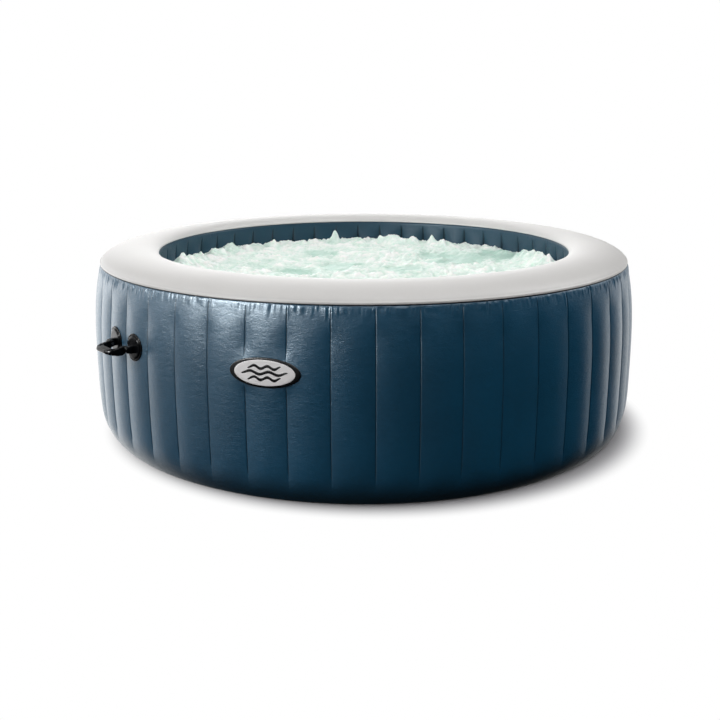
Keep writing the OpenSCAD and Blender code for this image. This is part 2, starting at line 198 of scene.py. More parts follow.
def ring_solid(name, points):
    """A closed ring from a grid of points that wraps round both ways."""
    rows, columns = points.shape[:2]
    return add_mesh(name, points.reshape(-1, 3), grid_faces(rows, columns, True, True))


def sides(count):
    """The two point numbers of each side of a ring."""
    return [(i, (i + 1) % count) for i in range(count)]


def capped(name, rings, low_tip, high_tip):
    """A closed solid through rings of points, with a fan from a tip to the first and to the last ring."""
    count, around = rings.shape[:2]
    tip, last = count * around, (count - 1) * around
    faces = grid_faces(count, around, False, True) + [(tip, b, a) for a, b in sides(around)]
    faces += [(tip + 1, last + a, last + b) for a, b in sides(around)]
    return add_mesh(name, np.concatenate([rings.reshape(-1, 3), [low_tip, high_tip]]), faces)


def loft(name, rings):
    """A closed solid through rings of points, closed at the middle of its first and last ring."""
    rings = np.asarray(rings, float)
    return capped(name, rings, rings[0].mean(0), rings[-1].mean(0))


def turned_grid(profile, segments, change=None):
    """Points of a profile of (x, radius) turned round local X; change alters the radii by x and angle."""
    angle = circle(segments)
    x, radius = np.repeat(profile[:, :1], segments, 1), np.repeat(profile[:, 1:], segments, 1)
    if change is not None:
        radius = change(x, radius, angle[None, :])
    return np.stack([x, radius * cos(angle), radius * sin(angle)], -1)


def lathe(name, profile, segments, change=None):
    """A closed solid of revolution round local X; the profile is (x, radius) points in a closed loop,
    or an open one whose two ends are on the axis."""
    profile = np.asarray(profile, float)
    (low, low_radius), (high, high_radius) = profile[0], profile[-1]
    if low_radius == high_radius == 0:
        return capped(name, turned_grid(profile[1:-1], segments), [low, 0, 0], [high, 0, 0])
    return ring_solid(name, turned_grid(profile, segments, change))


def rounded(corners, radius, steps=4):
    """A closed outline whose corners are rounded; a corner may give its own radius as a third value."""
    out = []
    for i, corner in enumerate(corners):
        here = np.array(corner[:2], float)
        back = np.array(corners[i - 1][:2], float) - here
        ahead = np.array(corners[(i + 1) % len(corners)][:2], float) - here
        r = corner[2] if len(corner) > 2 else radius
        r = min(r, 0.45 * np.linalg.norm(back), 0.45 * np.linalg.norm(ahead))
        if r <= 0:
            out.append(here)
            continue
        a = here + back / np.linalg.norm(back) * r
        b = here + ahead / np.linalg.norm(ahead) * r
        for t in np.linspace(0, 1, steps + 1):
            out.append((1 - t) ** 2 * a + 2 * t * (1 - t) * here + t ** 2 * b)
    return np.array(out)


def joined(name, objects):
    """One object made of several closed shells, each with its normals outwards."""
    points, faces = [], []
    for obj in objects:
        first = len(points)
        mesh = set_outward_normals(obj).data
        points += [v.co.copy() for v in mesh.vertices]
        faces += [[first + i for i in p.vertices] for p in mesh.polygons]
        bpy.data.objects.remove(obj)
    return add_mesh(name, points, faces)


def place(obj, matrix):
    """Moves an object's points by a matrix, so that the object itself stays at the origin."""
    obj.data.transform(matrix)
    if matrix.determinant() < 0:
        obj.data.flip_normals()
    obj.data.update()
    return obj


def outward(angle, x=0.0, y=0.0, z=0.0):
    """Local frame with +X pointing out of the wall at an angle, +Y along the wall and +Z up."""
    return Matrix.Rotation(angle, 4, "Z") @ Matrix.Translation((x, y, z))


def set_outward_normals(obj):
    """Turns a closed mesh inside out if its volume comes out negative."""
    mesh = obj.data
    mesh.calc_loop_triangles()
    points = np.array([v.co for v in mesh.vertices])
    corners = np.array([t.vertices for t in mesh.loop_triangles])
    a, b, c = (points[corners[:, k]] for k in range(3))
    if np.einsum("ij,ij->i", a, np.cross(b, c)).sum() < 0:
        mesh.flip_normals()
    return obj


def finish_piece(obj, body, slot, *nodes, look=None):
    """Gives a new piece its body, material slot and material, and hides the CAD nodes it stands for."""
    set_outward_normals(obj)
    obj.data.materials.clear()
    obj.data.materials.append(MATERIALS[look or slot])
    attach(obj, body)
    if nodes:
        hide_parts(*nodes)


# ---- materials


MATERIALS = {}


def new_material(name, color, roughness):
    """Keeps a new material under its name, and gives its node tree and its Principled shader."""
    material = MATERIALS[name] = bpy.data.materials.new(name)
    material.use_nodes = True
    shader = material.node_tree.nodes["Principled BSDF"]
    fill(material.node_tree, shader, ("Base Color", (*color, 1)), ("Roughness", roughness))
    return material.node_tree, shader


def fill(tree, made, *links):
    """Fills a node's inputs; each link is an input's name or number and a socket or a value."""
    for name, source in links:
        target = made.inputs[name]
        if hasattr(source, "is_output"):
            tree.links.new(source, target)
        else:
            target.default_value = source


def node(tree, kind, links=(), **values):
    """Adds a shader node; links fill its inputs, and values set its properties."""
    made = tree.nodes.new("ShaderNode" + kind)
    for name, value in values.items():
        setattr(made, name, value)
    fill(tree, made, *links)
    return made


def object_coordinates(tree, scale=(1, 1, 1)):
    """The row frame's coordinates in metres, stretched by a scale."""
    source = node(tree, "TexCoord")
    mapping = node(tree, "Mapping", [("Vector", source.outputs["Object"]), ("Scale", scale)])
    return mapping.outputs["Vector"]


def noise_node(tree, vector, scale, detail, roughness=0.55):
    """Soft noise; the scale is its number of bumps to the metre."""
    return node(tree, "TexNoise", [("Vector", vector), ("Scale", scale), ("Detail", detail),
                ("Roughness", roughness)]).outputs["Fac"]


def ramp(tree, factor, stops):
    """A colour ramp; each stop is (position, colour)."""
    made = node(tree, "ValToRGB", [("Fac", factor)])
    elements = made.color_ramp.elements
    while len(elements) < len(stops):
        elements.new(0.5)
    for element, (position, color) in zip(elements, stops):
        element.position = position
        element.color = (*color, 1)
    return made.outputs["Color"]


def math_node(tree, operation, a, b):
    """A sum or product of two sockets or numbers."""
    return node(tree, "Math", [(0, a), (1, b)], operation=operation).outputs[0]


def weighted_sum(tree, *terms):
    """The sum of several sockets, each times its weight."""
    products = [math_node(tree, "MULTIPLY", socket, weight) for socket, weight in terms]
    total = products[0]
    for product in products[1:]:
        total = math_node(tree, "ADD", total, product)
    return total


def map_range(tree, value, low, high, to_low, to_high, curve="LINEAR"):
    """Maps a value between two limits to another pair of limits."""
    made = node(tree, "MapRange", [("Value", value), ("From Min", low), ("From Max", high),
                ("To Min", to_low), ("To Max", to_high)], interpolation_type=curve)
    return made.outputs["Result"]


def smooth_range(tree, value, low, high, top):
    """0 below low, top above high, and an even curve between."""
    return map_range(tree, value, low, high, 0.0, top, "SMOOTHSTEP")


def layered_bump(tree, shader, *layers):
    """Bumps laid over one another; each is its height's socket, its strength and its distance."""
    normal = None
    for height, strength, distance in layers:
        under = [] if normal is None else [("Normal", normal)]
        normal = node(tree, "Bump", [("Height", height), ("Strength", strength), ("Distance", distance),
                      *under]).outputs["Normal"]
    tree.links.new(normal, shader.inputs["Normal"])


def tinted(color, factor):
    """A lighter or darker tint of a colour."""
    return tuple(min(1.0, c * factor) for c in color)


def vinyl(name, color, roughness, variation=0.12, grain=1.0, shine=0.5, ior=1.5, sheen=(1, 1, 1),
          seams=False):
    """Laminated vinyl: a fine cast grain over faint tension creases, with a slow drift of colour."""
    tree, shader = new_material(name, color, roughness)
    around = object_coordinates(tree)
    drift = noise_node(tree, around, 3.2, 4.0)
    mottle = noise_node(tree, object_coordinates(tree, (1, 1, 1.9)), 70.0, 6.0, 0.7)
    mixed = weighted_sum(tree, (drift, 0.55), (mottle, 0.45))
    tint = ramp(tree, mixed, [(0.32, tinted(color, 1 - variation)), (0.68, tinted(color, 1 + variation))])
    # The dark mark attribute darkens the seam lines. It also paints shade along the outer wall's foot and in the
    # inner wall's widening seams.
    if seams:
        mark = node(tree, "Attribute", attribute_name="seam").outputs["Fac"]
        tint = node(tree, "Mix", [("Factor", mark), ("A", tint), ("B", (*tinted(color, 0.35), 1))],
                    data_type="RGBA").outputs["Result"]
    rough = map_range(tree, mottle, 0.3, 0.7, roughness - 0.05, roughness + 0.07)
    fill(tree, shader, ("Base Color", tint), ("Roughness", rough), ("Specular IOR Level", shine),
         ("Specular Tint", (*sheen, 1)), ("IOR", ior))
    creases = noise_node(tree, object_coordinates(tree, (1, 1, 2.6)), 26.0, 3.0, 0.5)
    streaks = noise_node(tree, object_coordinates(tree, (1, 1, 3.2)), 120.0, 4.0, 0.65)
    fine = noise_node(tree, around, 900.0, 2.0)
    layered_bump(tree, shader, (creases, 0.35 * grain, 0.0015), (streaks, 0.60 * grain, 0.0009),
                 (fine, 0.20 * grain, 0.0003))


def moulded(name, color, roughness, grain=1.0, metallic=0.0, shine=0.5):
    """Moulded plastic or rubber: a fine spark-eroded grain, worn a little smoother in patches."""
    tree, shader = new_material(name, color, roughness)
    around = object_coordinates(tree)
    patches = noise_node(tree, around, 14.0, 4.0)
    tint = ramp(tree, patches, [(0.3, tinted(color, 0.86)), (0.7, tinted(color, 1.16))])
    rough = map_range(tree, patches, 0.3, 0.7, roughness - 0.08, roughness + 0.08)
    fill(tree, shader, ("Base Color", tint), ("Roughness", rough), ("Metallic", metallic),
         ("Specular IOR Level", shine))
    layered_bump(tree, shader, (noise_node(tree, around, 1400.0, 2.0), 0.25 * grain, 0.0003))


def pleated_paper(name, color):
    """Filter fleece: long soft fibres along the pleats."""
    tree, shader = new_material(name, color, 0.85)
    fibres = noise_node(tree, object_coordinates(tree), 700.0, 4.0, 0.7)
    fill(tree, shader, ("Base Color", ramp(tree, fibres, [(0.3, tinted(color, 0.82)), (0.7, color)])))
    layered_bump(tree, shader, (fibres, 0.6, 0.0006))


def bubbling_foam(name):
    """Aerated water: white froth on the crests, a greener tint in the creases between clumps that is partly
    thinner froth and partly painted shade, and a pale green tint where the water is calmer.
    """
    white, green = (0.93, 0.95, 0.92), (0.44, 0.64, 0.55)
    tree, shader = new_material(name, white, 0.3)
    around = object_coordinates(tree)
    froth = node(tree, "Attribute", attribute_name="froth").outputs["Fac"]
    patches = noise_node(tree, around, 9.0, 6.0, 0.62)
    streaks = noise_node(tree, object_coordinates(tree, (1, 1, 0.4)), 48.0, 5.0, 0.65)
    mixed = weighted_sum(tree, (patches, 0.40), (streaks, 0.30), (froth, 0.45))
    tint = ramp(tree, mixed, [(0.38, green), (0.56, (0.70, 0.83, 0.76)), (0.70, white)])
    fill(tree, shader, ("Base Color", tint), ("Subsurface Weight", 0.3),
         ("Subsurface Radius", (0.008, 0.012, 0.010)), ("Subsurface Scale", 0.5))
    bubbles = node(tree, "TexVoronoi", [("Vector", around), ("Scale", 210.0)], feature="SMOOTH_F1")
    layered_bump(tree, shader, (streaks, 0.4, 0.005), (bubbles.outputs["Distance"], 0.3, 0.0015))


NAVY = (0.0010, 0.064, 0.132)
# Painted shade: the inner wall's copy of the wall's navy, darker and greyer, for the shade inside the tub.
INNER_SHADED_NAVY = (0.006, 0.045, 0.080)
WHITE = (0.61, 0.60, 0.588)
BLACK = (0.0025, 0.003, 0.004)
COOL_SHEEN = (0.82, 0.93, 1.0)


def make_materials():
    """One material for each slot of the CAD nodes, and those of the pieces that look different."""
    vinyl("wall_vinyl", NAVY, 0.35, variation=0.22, grain=1.5, shine=1.0, ior=1.58, sheen=COOL_SHEEN,
          seams=True)
    # The inner wall and its weld take this darker copy of the wall's vinyl as painted shade.
    vinyl("inner_shaded_vinyl", INNER_SHADED_NAVY, 0.42, grain=0.8, shine=0.6, sheen=COOL_SHEEN, seams=True)
    vinyl("white_vinyl", WHITE, 0.42, variation=0.025, grain=0.45)
    vinyl("web_vinyl", (0.52, 0.52, 0.50), 0.6)
    vinyl("base_vinyl", (0.012, 0.014, 0.017), 0.55, grain=1.6)
    vinyl("weld_vinyl", (0.010, 0.016, 0.022), 0.45, grain=0.5)
    moulded("badge_border", BLACK, 0.28)
    vinyl("badge_white", (1.0, 0.97, 0.975), 0.38, variation=0.02, grain=0.3)
    moulded("handle_rubber", BLACK, 0.20, grain=0.35, shine=0.16)
    moulded("handle_pin", (0.03, 0.03, 0.033), 0.30)
    moulded("port_plastic", (0.014, 0.014, 0.016), 0.34)
    moulded("seal_rubber", (0.012, 0.012, 0.012), 0.62, grain=1.6)
    moulded("grey_plastic", (0.20, 0.21, 0.22), 0.42)
    vinyl("channel_vinyl", NAVY, 0.5)
    pleated_paper("filter_paper", (0.70, 0.76, 0.80))
    moulded("flap_plastic", (0.60, 0.60, 0.57), 0.4)
    moulded("spring_steel", (0.55, 0.55, 0.55), 0.25, grain=0.3, metallic=1.0)
    bubbling_foam("bubbling_foam")


def paint_cad_nodes():
    """Every CAD node takes the material of its slot."""
    for part in frame["record"]["subparts"]:
        obj = frame["nodes"][part["node"]]
        obj.data.materials.clear()
        obj.data.materials.append(MATERIALS[part["material_slot"]])


# ---- the inflated wall


def outer_crest(z):
    """Radius of the outer wall over the crest of its lobes, at a height."""
    foot = FOOT_INSET * np.clip(1 - np.asarray(z) / FOOT_RISE, 0, 1) ** FOOT_POWER
    rise = np.clip((np.asarray(z) - SHOULDER_START) / (OUTER_SEAM_Z - SHOULDER_START), 0, 1)
    return TUB_R - foot - (TUB_R - SEAM_R) * rise ** SHOULDER_POWER


def inner_crest(z):
    """Radius of the inner wall over the crest of its lobes, at a height."""
    z = np.asarray(z)
    flare = INNER_FLARE * np.clip(1 - z / FOOT_RISE, 0, 1) ** FOOT_POWER
    return OPENING_R - INNER_BULGE * sin(pi * np.clip(z / INNER_SEAM_Z, 0, 1)) + flare


def across_panel(angle):
    """How far an angle is from its panel's middle, from -1 at one seam to 1 at the next."""
    turns = (np.asarray(angle) - BADGE_ANGLE) / PANEL_STEP
    return 2 * (turns - np.round(turns))


def lobe(t, depth, half_width):
    """Height of a lobe above its seams at t across it: an arc whose sagitta is depth."""
    radius = (half_width ** 2 + depth ** 2) / (2 * depth)
    return np.sqrt(radius ** 2 - (t * half_width) ** 2) - (radius - depth)


def along_wall(angle, middle):
    """Distance along the outer wall from one direction to another."""
    return TUB_R * np.arctan2(sin(angle - middle), cos(angle - middle))


def near_badge(angle, z):
    """1 under the badge, falling to 0 a little way outside it."""
    across = along_wall(angle, BADGE_ANGLE) / BADGE_HALF_WIDTH
    return smooth(1.45, 1.0, np.hypot(across, (z - BADGE_Z) / BADGE_HALF_HEIGHT))


def direction_of(cad_node):
    """Direction round the tub, in radians, of the middle of a CAD node's box."""
    low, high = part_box(cad_node)
    return math.atan2(low.y + high.y, low.x + high.x)


def fitting_place(cad_node):
    """Angle, height and radius of a round fitting that is welded to the side wall."""
    low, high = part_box(cad_node)
    return direction_of(cad_node), (low.z + high.z) / 2, (high.z - low.z) / 2


FITTINGS = [fitting_place(cad_node) for cad_node in
            ("suction_saddle", "return_saddle", "air_saddle", "drain_saddle", "valve_boss")]


def near_fitting(angle, z):
    """1 under a fitting's flange, falling to 0 a little way outside it."""
    nearest = np.zeros(np.broadcast(angle, z).shape)
    for middle, height, radius in FITTINGS:
        away = np.hypot(along_wall(angle, middle), z - height)
        nearest = np.maximum(nearest, smooth(radius + FLANGE_MARGIN, radius + 4 * MM, away))
    return nearest


def outer_surface(angle, z):
    """Radius of the lobed outer wall at an angle and a height."""
    fade = smooth(OUTER_SEAM_Z - 22 * MM, OUTER_SEAM_Z - 120 * MM, z) * smooth(26 * MM, 120 * MM, z)
    fade = fade * (1 - 0.85 * near_badge(angle, z)) * (1 - near_fitting(angle, z))
    valley = LOBE_DEPTH - lobe(across_panel(angle), LOBE_DEPTH, PANEL_HALF_WIDTH)
    return outer_crest(z) - fade * valley


def seam_mark(angle, z):
    """1 on the weld line of a seam, 0 away from it and near the wall's two ends."""
    off_seam = (1 - np.abs(across_panel(angle))) * PANEL_HALF_WIDTH
    ends = smooth(OUTER_SEAM_Z - 5 * MM, OUTER_SEAM_Z - 17 * MM, z) * smooth(80 * MM, 118 * MM, z)
    return np.exp(-(off_seam / SEAM_WIDTH) ** 2) * ends * (1 - near_badge(angle, z))


def puckers(angle, z, radius, top, length):
    """Short gathers that run down from a weld, uneven in spacing, height and length."""
    x, y = radius * cos(angle), radius * sin(angle)
    sharp = 1 - 2.6 * np.abs(noise_at(x, y, 15 * MM, 0.5))
    small = 1 - 2.6 * np.abs(noise_at(x, y, 8 * MM, 7.0))
    uneven = np.clip(0.75 + 0.9 * noise_at(x, y, 0.07, 3.1), 0.15, 1.3)
    reach = length * (0.9 + 0.7 * noise_at(x, y, 0.022, 9.7))
    below = top - z
    return (sharp + 0.35 * small) * uneven * smooth(0, 7 * MM, below) * smooth(reach, 0.2 * reach, below)


def panel_columns(per_panel):
    """Angles round the tub, closer together near each seam."""
    u = np.linspace(-1, 1, per_panel, endpoint=False)
    t = 0.45 * u + 0.55 * sin(u * pi / 2)
    middles = BADGE_ANGLE + PANEL_STEP * np.arange(PANELS)
    return (middles[:, None] + t[None, :] * PANEL_STEP / 2).ravel()


def ring_points(angles, radius, z):
    """Points of one row round the tub."""
    radius, z = np.broadcast_arrays(radius, z, angles)[:2]
    return np.stack([radius * cos(angles), radius * sin(angles), z], -1)


def store_attribute(obj, name, values):
    """Keeps a value for each of an object's points, for its material."""
    attribute = obj.data.attributes.new(name, "FLOAT", "POINT")
    attribute.data.foreach_set("value", np.asarray(values, np.float32))


def foot_painted_shade(z):
    """Painted shade from the floor: 1 on the dark band along the ground, where the wall turns under."""
    return 0.85 * smooth(125 * MM, 12 * MM, z)


# CAD nodes that pass through the outer wall: the node, one that gives its direction, and the hole's radius
WALL_HOLES = [("suction_port", "air_port", 23 * MM), ("return_port", "air_port", 23 * MM),
              ("air_port", "air_port", 23 * MM), ("drain_port", "drain_port", 15 * MM),
              ("valve_boss", "valve_insert", 19 * MM)]
HOLE_DEPTH = 60 * MM


def cut_wall_holes(wall):
    """Opens the outer wall where each port, the drain and the valve pass through it."""
    inside, outside = TUB_R - HOLE_DEPTH, TUB_R + HOLE_DEPTH
    cutters = []
    for cad_node, faces, radius in WALL_HOLES:
        angle = direction_of(faces)
        y, z = local_extent(cad_node, angle)[2:4]
        profile = [(inside, 0), (inside, radius), (outside, radius), (outside, 0)]
        cutters.append(place(lathe("cutter", profile, 64), outward(angle, 0, y, z)))
    cutter = joined("wall_cutter", cutters)
    holes = wall.modifiers.new("holes", "BOOLEAN")
    holes.operation, holes.solver, holes.object = "DIFFERENCE", "MANIFOLD", cutter
    cut = bpy.data.meshes.new_from_object(wall.evaluated_get(bpy.context.evaluated_depsgraph_get()))
    wall.modifiers.clear()
    wall.data = cut
    bpy.data.objects.remove(cutter)
    return wall


def wall_skin(name, angles, front, back):
    """A wall's closed skin from its visible rows, as (height, radius, dark mark), and its back rows, as
    (height, radius); the dark mark holds the seam lines and painted shade."""
    rows = front + [(z, radius, np.zeros(len(angles))) for z, radius in back]
    skin = ring_solid(name, np.array([ring_points(angles, radius, z) for z, radius, _ in rows]))
    store_attribute(skin, "seam", np.concatenate([mark for _, _, mark in rows]))
    return skin


def make_outer_wall():
    """The lobed side wall, with its weld lines, its gathers under the top weld and its holes."""
    angles = panel_columns(52)
    top = OUTER_SEAM_Z
    front = []
    for z in stations(SKIN, (30 * MM, 8), (110 * MM, 11), (top - 110 * MM, 21), (top - 50 * MM, 8),
                      (top, 15)):
        mark = seam_mark(angles, z)
        radius = outer_surface(angles, z) - SEAM_GROOVE * mark
        if z > top - 60 * MM:
            radius = radius + PUCKER_HEIGHT * puckers(angles, z, SEAM_R, top, 42 * MM)
        # The foot's painted shade joins the seam lines in the same dark mark.
        front.append((z, radius, np.maximum(mark, foot_painted_shade(z))))
    back = [(z, outer_crest(z) - LOBE_DEPTH - 4 * MM) for z in np.linspace(top, SKIN, 8)]
    wall = cut_wall_holes(set_outward_normals(wall_skin("outer_wall_skin", angles, front, back)))
    finish_piece(wall, "tub", "wall_vinyl", "outer_wall")


def make_inner_wall():
    """The lobed wall round the water, whose seams flatten towards the top weld."""
    angles = panel_columns(36)
    top = INNER_SEAM_Z
    half_width = OPENING_R * PANEL_STEP / 2
    t = across_panel(angles)
    valley = INNER_LOBE_DEPTH - lobe(t, INNER_LOBE_DEPTH, half_width)
    off_seam = (1 - np.abs(t)) * half_width
    front = []
    for z in stations(SKIN, (90 * MM, 9), (top - 120 * MM, 13), (top, 19)):
        fade = smooth(top - 6 * MM, top - 90 * MM, z) * smooth(12 * MM, 80 * MM, z)
        # The inner seam marks are dark seam lines. They widen downward as painted shade in the deepening valleys.
        spread = SEAM_WIDTH * (1.4 + 2.2 * smooth(top - 20 * MM, top - 110 * MM, z))
        mark = np.exp(-(off_seam / spread) ** 2) * smooth(top - 12 * MM, top - 26 * MM, z)
        gathers = 0.8 * MM * puckers(angles, z, OPENING_R, top, 24 * MM)
        front.append((z, inner_crest(z) + fade * valley + 2 * SEAM_GROOVE * mark - gathers, mark))
    back = [(z, inner_crest(z) + INNER_LOBE_DEPTH + 7 * MM) for z in np.linspace(top, SKIN, 6)]
    wall = wall_skin("inner_wall_skin", angles, front, back)
    finish_piece(wall, "tub", "wall_vinyl", "inner_wall", look="inner_shaded_vinyl")


def make_webs():
    """The upright sheets that tie the two walls together, one along each seam."""
    heights = np.linspace(30 * MM, OUTER_SEAM_Z - 20 * MM, 24)
    webs = []
    for i in range(PANELS):
        angle = BADGE_ANGLE + (i + 0.5) * PANEL_STEP
        far = outer_surface(np.array(angle), heights) - SEAM_GROOVE - 2 * MM
        near = inner_crest(heights) + INNER_LOBE_DEPTH + 2 * SEAM_GROOVE + 1 * MM
        across = np.array([-sin(angle), cos(angle), 0]) * 0.3 * MM
        rings = []
        for share in np.linspace(0, 1, 7):
            radius = near + (far - near) * share
            line = ring_points(np.full(len(heights), angle), radius, heights)
            rings.append(np.concatenate([line - across, line[::-1] + across]))
        webs.append(loft(f"web_{i}", rings))
    finish_piece(joined("beam_web_sheets", webs), "tub", "web_vinyl", "beam_webs")


def make_top_ring():
    """The padded rim: half an ellipse over the chamber, with an upright weld lip at its outer foot."""
    angles = circle(1152)
    half = (SEAM_R - OPENING_R) / 2
    tilt = (INNER_SEAM_Z - OUTER_SEAM_Z) / 2
    crest = TUB_TOP - (OUTER_SEAM_Z + INNER_SEAM_Z) / 2 - WELD
    rise = math.sqrt(crest ** 2 - tilt ** 2)
    x, y = cos(angles), sin(angles)
    slow = 0.5 * noise_at(x, y, 1 / 2.2, 1.0) + 0.5 * noise_at(x, y, 1 / 6.5, 2.0)
    rows = []
    gather = 0.5 * MM * noise_at(x, y, 0.02 / SEAM_R, 4.4)
    steps = arc_spaced(0, pi, 64)

    def section(a, inside):
        z = OUTER_SEAM_Z + WELD + tilt * (1 - cos(a)) + (rise - inside) * sin(a)
        return SEAM_R - half + (half - inside) * cos(a), z

    for a in steps:
        radius, z = section(a, 0)
        lip = LIP_DEPTH * smooth(LIP_HEIGHT + 2 * MM, LIP_HEIGHT - 1 * MM, rise * sin(a))
        lip = lip + gather * smooth(0.75, 1.0, abs(cos(a)))
        swell = RING_SWELL * (slow - 1) * sin(a)
        rows.append(ring_points(angles, radius + lip * np.sign(cos(a)), z + swell))
    for a in steps[::-1][::4]:
        rows.append(ring_points(angles, *section(a, 3 * MM)))
    ring = ring_solid("top_ring_skin", np.array(rows))
    finish_piece(ring, "tub", "white_vinyl", "top_ring")


def bead(name, radius, z, width):
    """A rounded bead round the tub, as high as the gap at a weld."""
    def squared(value):
        return np.sign(value) * abs(value) ** 0.6

    angles, height = circle(768), WELD * 0.96
    rows = [ring_points(angles, radius + squared(cos(a)) * width / 2,
                        z + squared(sin(a)) * height / 2) for a in circle(14)]
    return ring_solid(name, np.array(rows))


def make_welds():
    """The thin seams where the top ring meets the two walls."""
    outer = bead("outer_top_weld_bead", SEAM_R - 3 * MM, OUTER_SEAM_Z + WELD / 2, 10 * MM)
    finish_piece(outer, "tub", "base_vinyl", "outer_top_weld", look="weld_vinyl")
    inner = bead("inner_top_weld_bead", OPENING_R + 3 * MM, INNER_SEAM_Z + WELD / 2, 9 * MM)
    finish_piece(inner, "tub", "wall_vinyl", "inner_top_weld", look="inner_shaded_vinyl")


def make_base():
    """The base sheet: a round sheet with a rounded edge and even quads, lying flat."""
    angles = circle(384)
    radius, edge, half = SEAM_R - 6 * MM, 1 * MM, SKIN / 2
    shares = (0.3, 0.6, 0.85)
    rows = [ring_points(angles, r, SKIN) for r in (0.02, *(share * radius for share in shares))]
    for a in np.linspace(pi / 2, -pi / 2, 7):
        rows.append(ring_points(angles, radius - edge + edge * cos(a), half + half * sin(a)))
    rows += [ring_points(angles, r, 0.0) for r in (*(share * radius for share in shares[::-1]), 0.02)]
    finish_piece(loft("base_sheet_disc", np.array(rows)), "tub", "base_vinyl", "base_sheet")


# ---- the water


def disc_grid(count):
    """An even grid of points over the unit disc, as two arrays."""
    side = np.linspace(-1, 1, count)
    u, v = np.meshgrid(side, side, indexing="ij")
    larger_u = np.abs(u) >= np.abs(v)
    radius = np.where(larger_u, u, v)
    with np.errstate(divide="ignore", invalid="ignore"):
        angle = np.where(larger_u, pi / 4 * v / u, pi / 2 - pi / 4 * u / v)
    angle = np.nan_to_num(angle)
    return radius * cos(angle), radius * sin(angle)


# Places where the jets throw the water up: turn in degrees from -Y towards +X, height and spread in mm
PLUMES = [(208, 40, 26), (207, 26, 15), (198, 18, 24), (190, 24, 26), (185, 34, 38), (178, 22, 40),
          (170.5, 40, 20), (166, 26, 34), (220, 16, 30), (232, 24, 34), (244, 14, 30), (252, 36, 44),
          (260, 26, 40), (272, 26, 40), (281, 40, 44), (290, 44, 60), (298, 30, 60), (138, 14, 34),
          (126, 30, 40), (119, 44, 46), (110, 46, 50), (100, 52, 60), (60, 22, 60), (20, 20, 60),
          (330, 20, 60)]
# Calmer patches where the water shows through the froth: x, y and spread in metres
CALM_PATCHES = [(0.36, 0.37, 0.13), (0.47, 0.47, 0.12), (0.22, 0.42, 0.10), (0.28, 0.22, 0.08),
                (0.16, 0.02, 0.07), (-0.10, -0.02, 0.09), (-0.24, -0.16, 0.08), (-0.30, 0.30, 0.07)]


def calmness(x, y):
    """1 in the middle of a calm patch, with ragged edges; 0 in the froth."""
    ragged = 0.55 * noise_at(x, y, 0.08, 31.0) + 0.40 * noise_at(x, y, 0.030, 33.0)
    calm = np.zeros_like(x)
    for centre_x, centre_y, spread in CALM_PATCHES:
        away = np.hypot(x - centre_x, y - centre_y) / spread
        calm = np.maximum(calm, smooth(1.5, 0.5, away + ragged))
    return calm


def ridges(x, y, size, layer):
    """Sharp crests with round hollows between them, about a size apart."""
    return 0.55 - 2 * np.abs(noise_at(x, y, size, layer))


def water_height(x, y, calm):
    """Height of the water above its level: swell, mounds over the jets, clumps of foam and froth."""
    bent_x = x + 0.020 * noise_at(x, y, 0.06, 41.0)
    bent_y = y + 0.020 * noise_at(x, y, 0.06, 43.0)
    swell = 7 * MM * noise_at(x, y, 0.26, 2.0)
    mounds = 10 * MM * ridges(bent_x, bent_y, 0.12, 5.0)
    clumps = -8 * MM * ridges(bent_x, bent_y, 0.060, 8.0)
    lumps = -4.5 * MM * ridges(bent_x, bent_y, 0.028, 13.0)
    froth = -4.2 * MM * ridges(x, y, 0.015, 17.0)
    height = swell + mounds + (1 - 0.75 * calm) * (clumps + lumps + froth) - 6 * MM * calm
    ring = OPENING_R - 90 * MM
    for turn, rise, spread in PLUMES:
        angle = BADGE_ANGLE + math.radians(turn)
        away = np.hypot(x - ring * cos(angle), y - ring * sin(angle)) / (spread * MM)
        near = away < 3
        uneven = 1 + 0.5 * noise_at(x[near], y[near], 0.022, 20.0 + turn)
        height[near] += rise * MM * np.exp(-away[near] ** 2) * uneven
    return height, (clumps + lumps + froth) / (10 * MM)


def make_water():
    """The water as one closed solid: the bubbling surface, a short side wall and a flat underside."""
    count = 380
    u, v = disc_grid(count)
    edge = OPENING_R - INNER_BULGE + 5 * MM
    x, y = u * edge, v * edge
    calm = calmness(x, y)
    height, texture = water_height(x, y, calm)
    top = np.stack([x, y, WATER_LEVEL + height], -1).reshape(-1, 3)
    faces = grid_faces(count, count, False, False)
    index = np.arange(count * count).reshape(count, count)
    border = np.concatenate([index[0, :-1], index[:-1, -1], index[-1, :0:-1], index[:0:-1, 0]])
    floor_z = WATER_LEVEL - WATER_DEPTH
    under = top[border].copy()
    under[:, 2] = floor_z
    n, first = len(border), len(top)
    faces += [(border[a], border[b], first + b, first + a) for a, b in sides(n)]
    faces += [(first + a, first + b, first + n) for a, b in sides(n)]
    points = np.concatenate([top, under, [[0, 0, floor_z]]])
    water = add_mesh("bubbling_water", points, faces)
    # Froth is higher on the clumps' tops and lower in the creases between them: partly thinner froth, partly
    # painted shade.
    froth = np.clip(0.62 + 0.30 * texture.ravel() - 0.55 * calm.ravel(), 0, 1)
    store_attribute(water, "froth", np.concatenate([froth, np.zeros(n + 1)]))
    finish_piece(water, "tub", "white_vinyl", look="bubbling_foam")


# ---- badge

FACE_LIFT = 3.0 * MM
WAVE_RISE = 4.5 * MM
WAVE_THICKNESS = 9.5 * MM


def on_crest(across, z, lift):
    """Points over the outer wall's crest, at a distance to the right of the badge's middle."""
    return ring_points(BADGE_ANGLE + across / TUB_R, outer_crest(z) + lift, z)


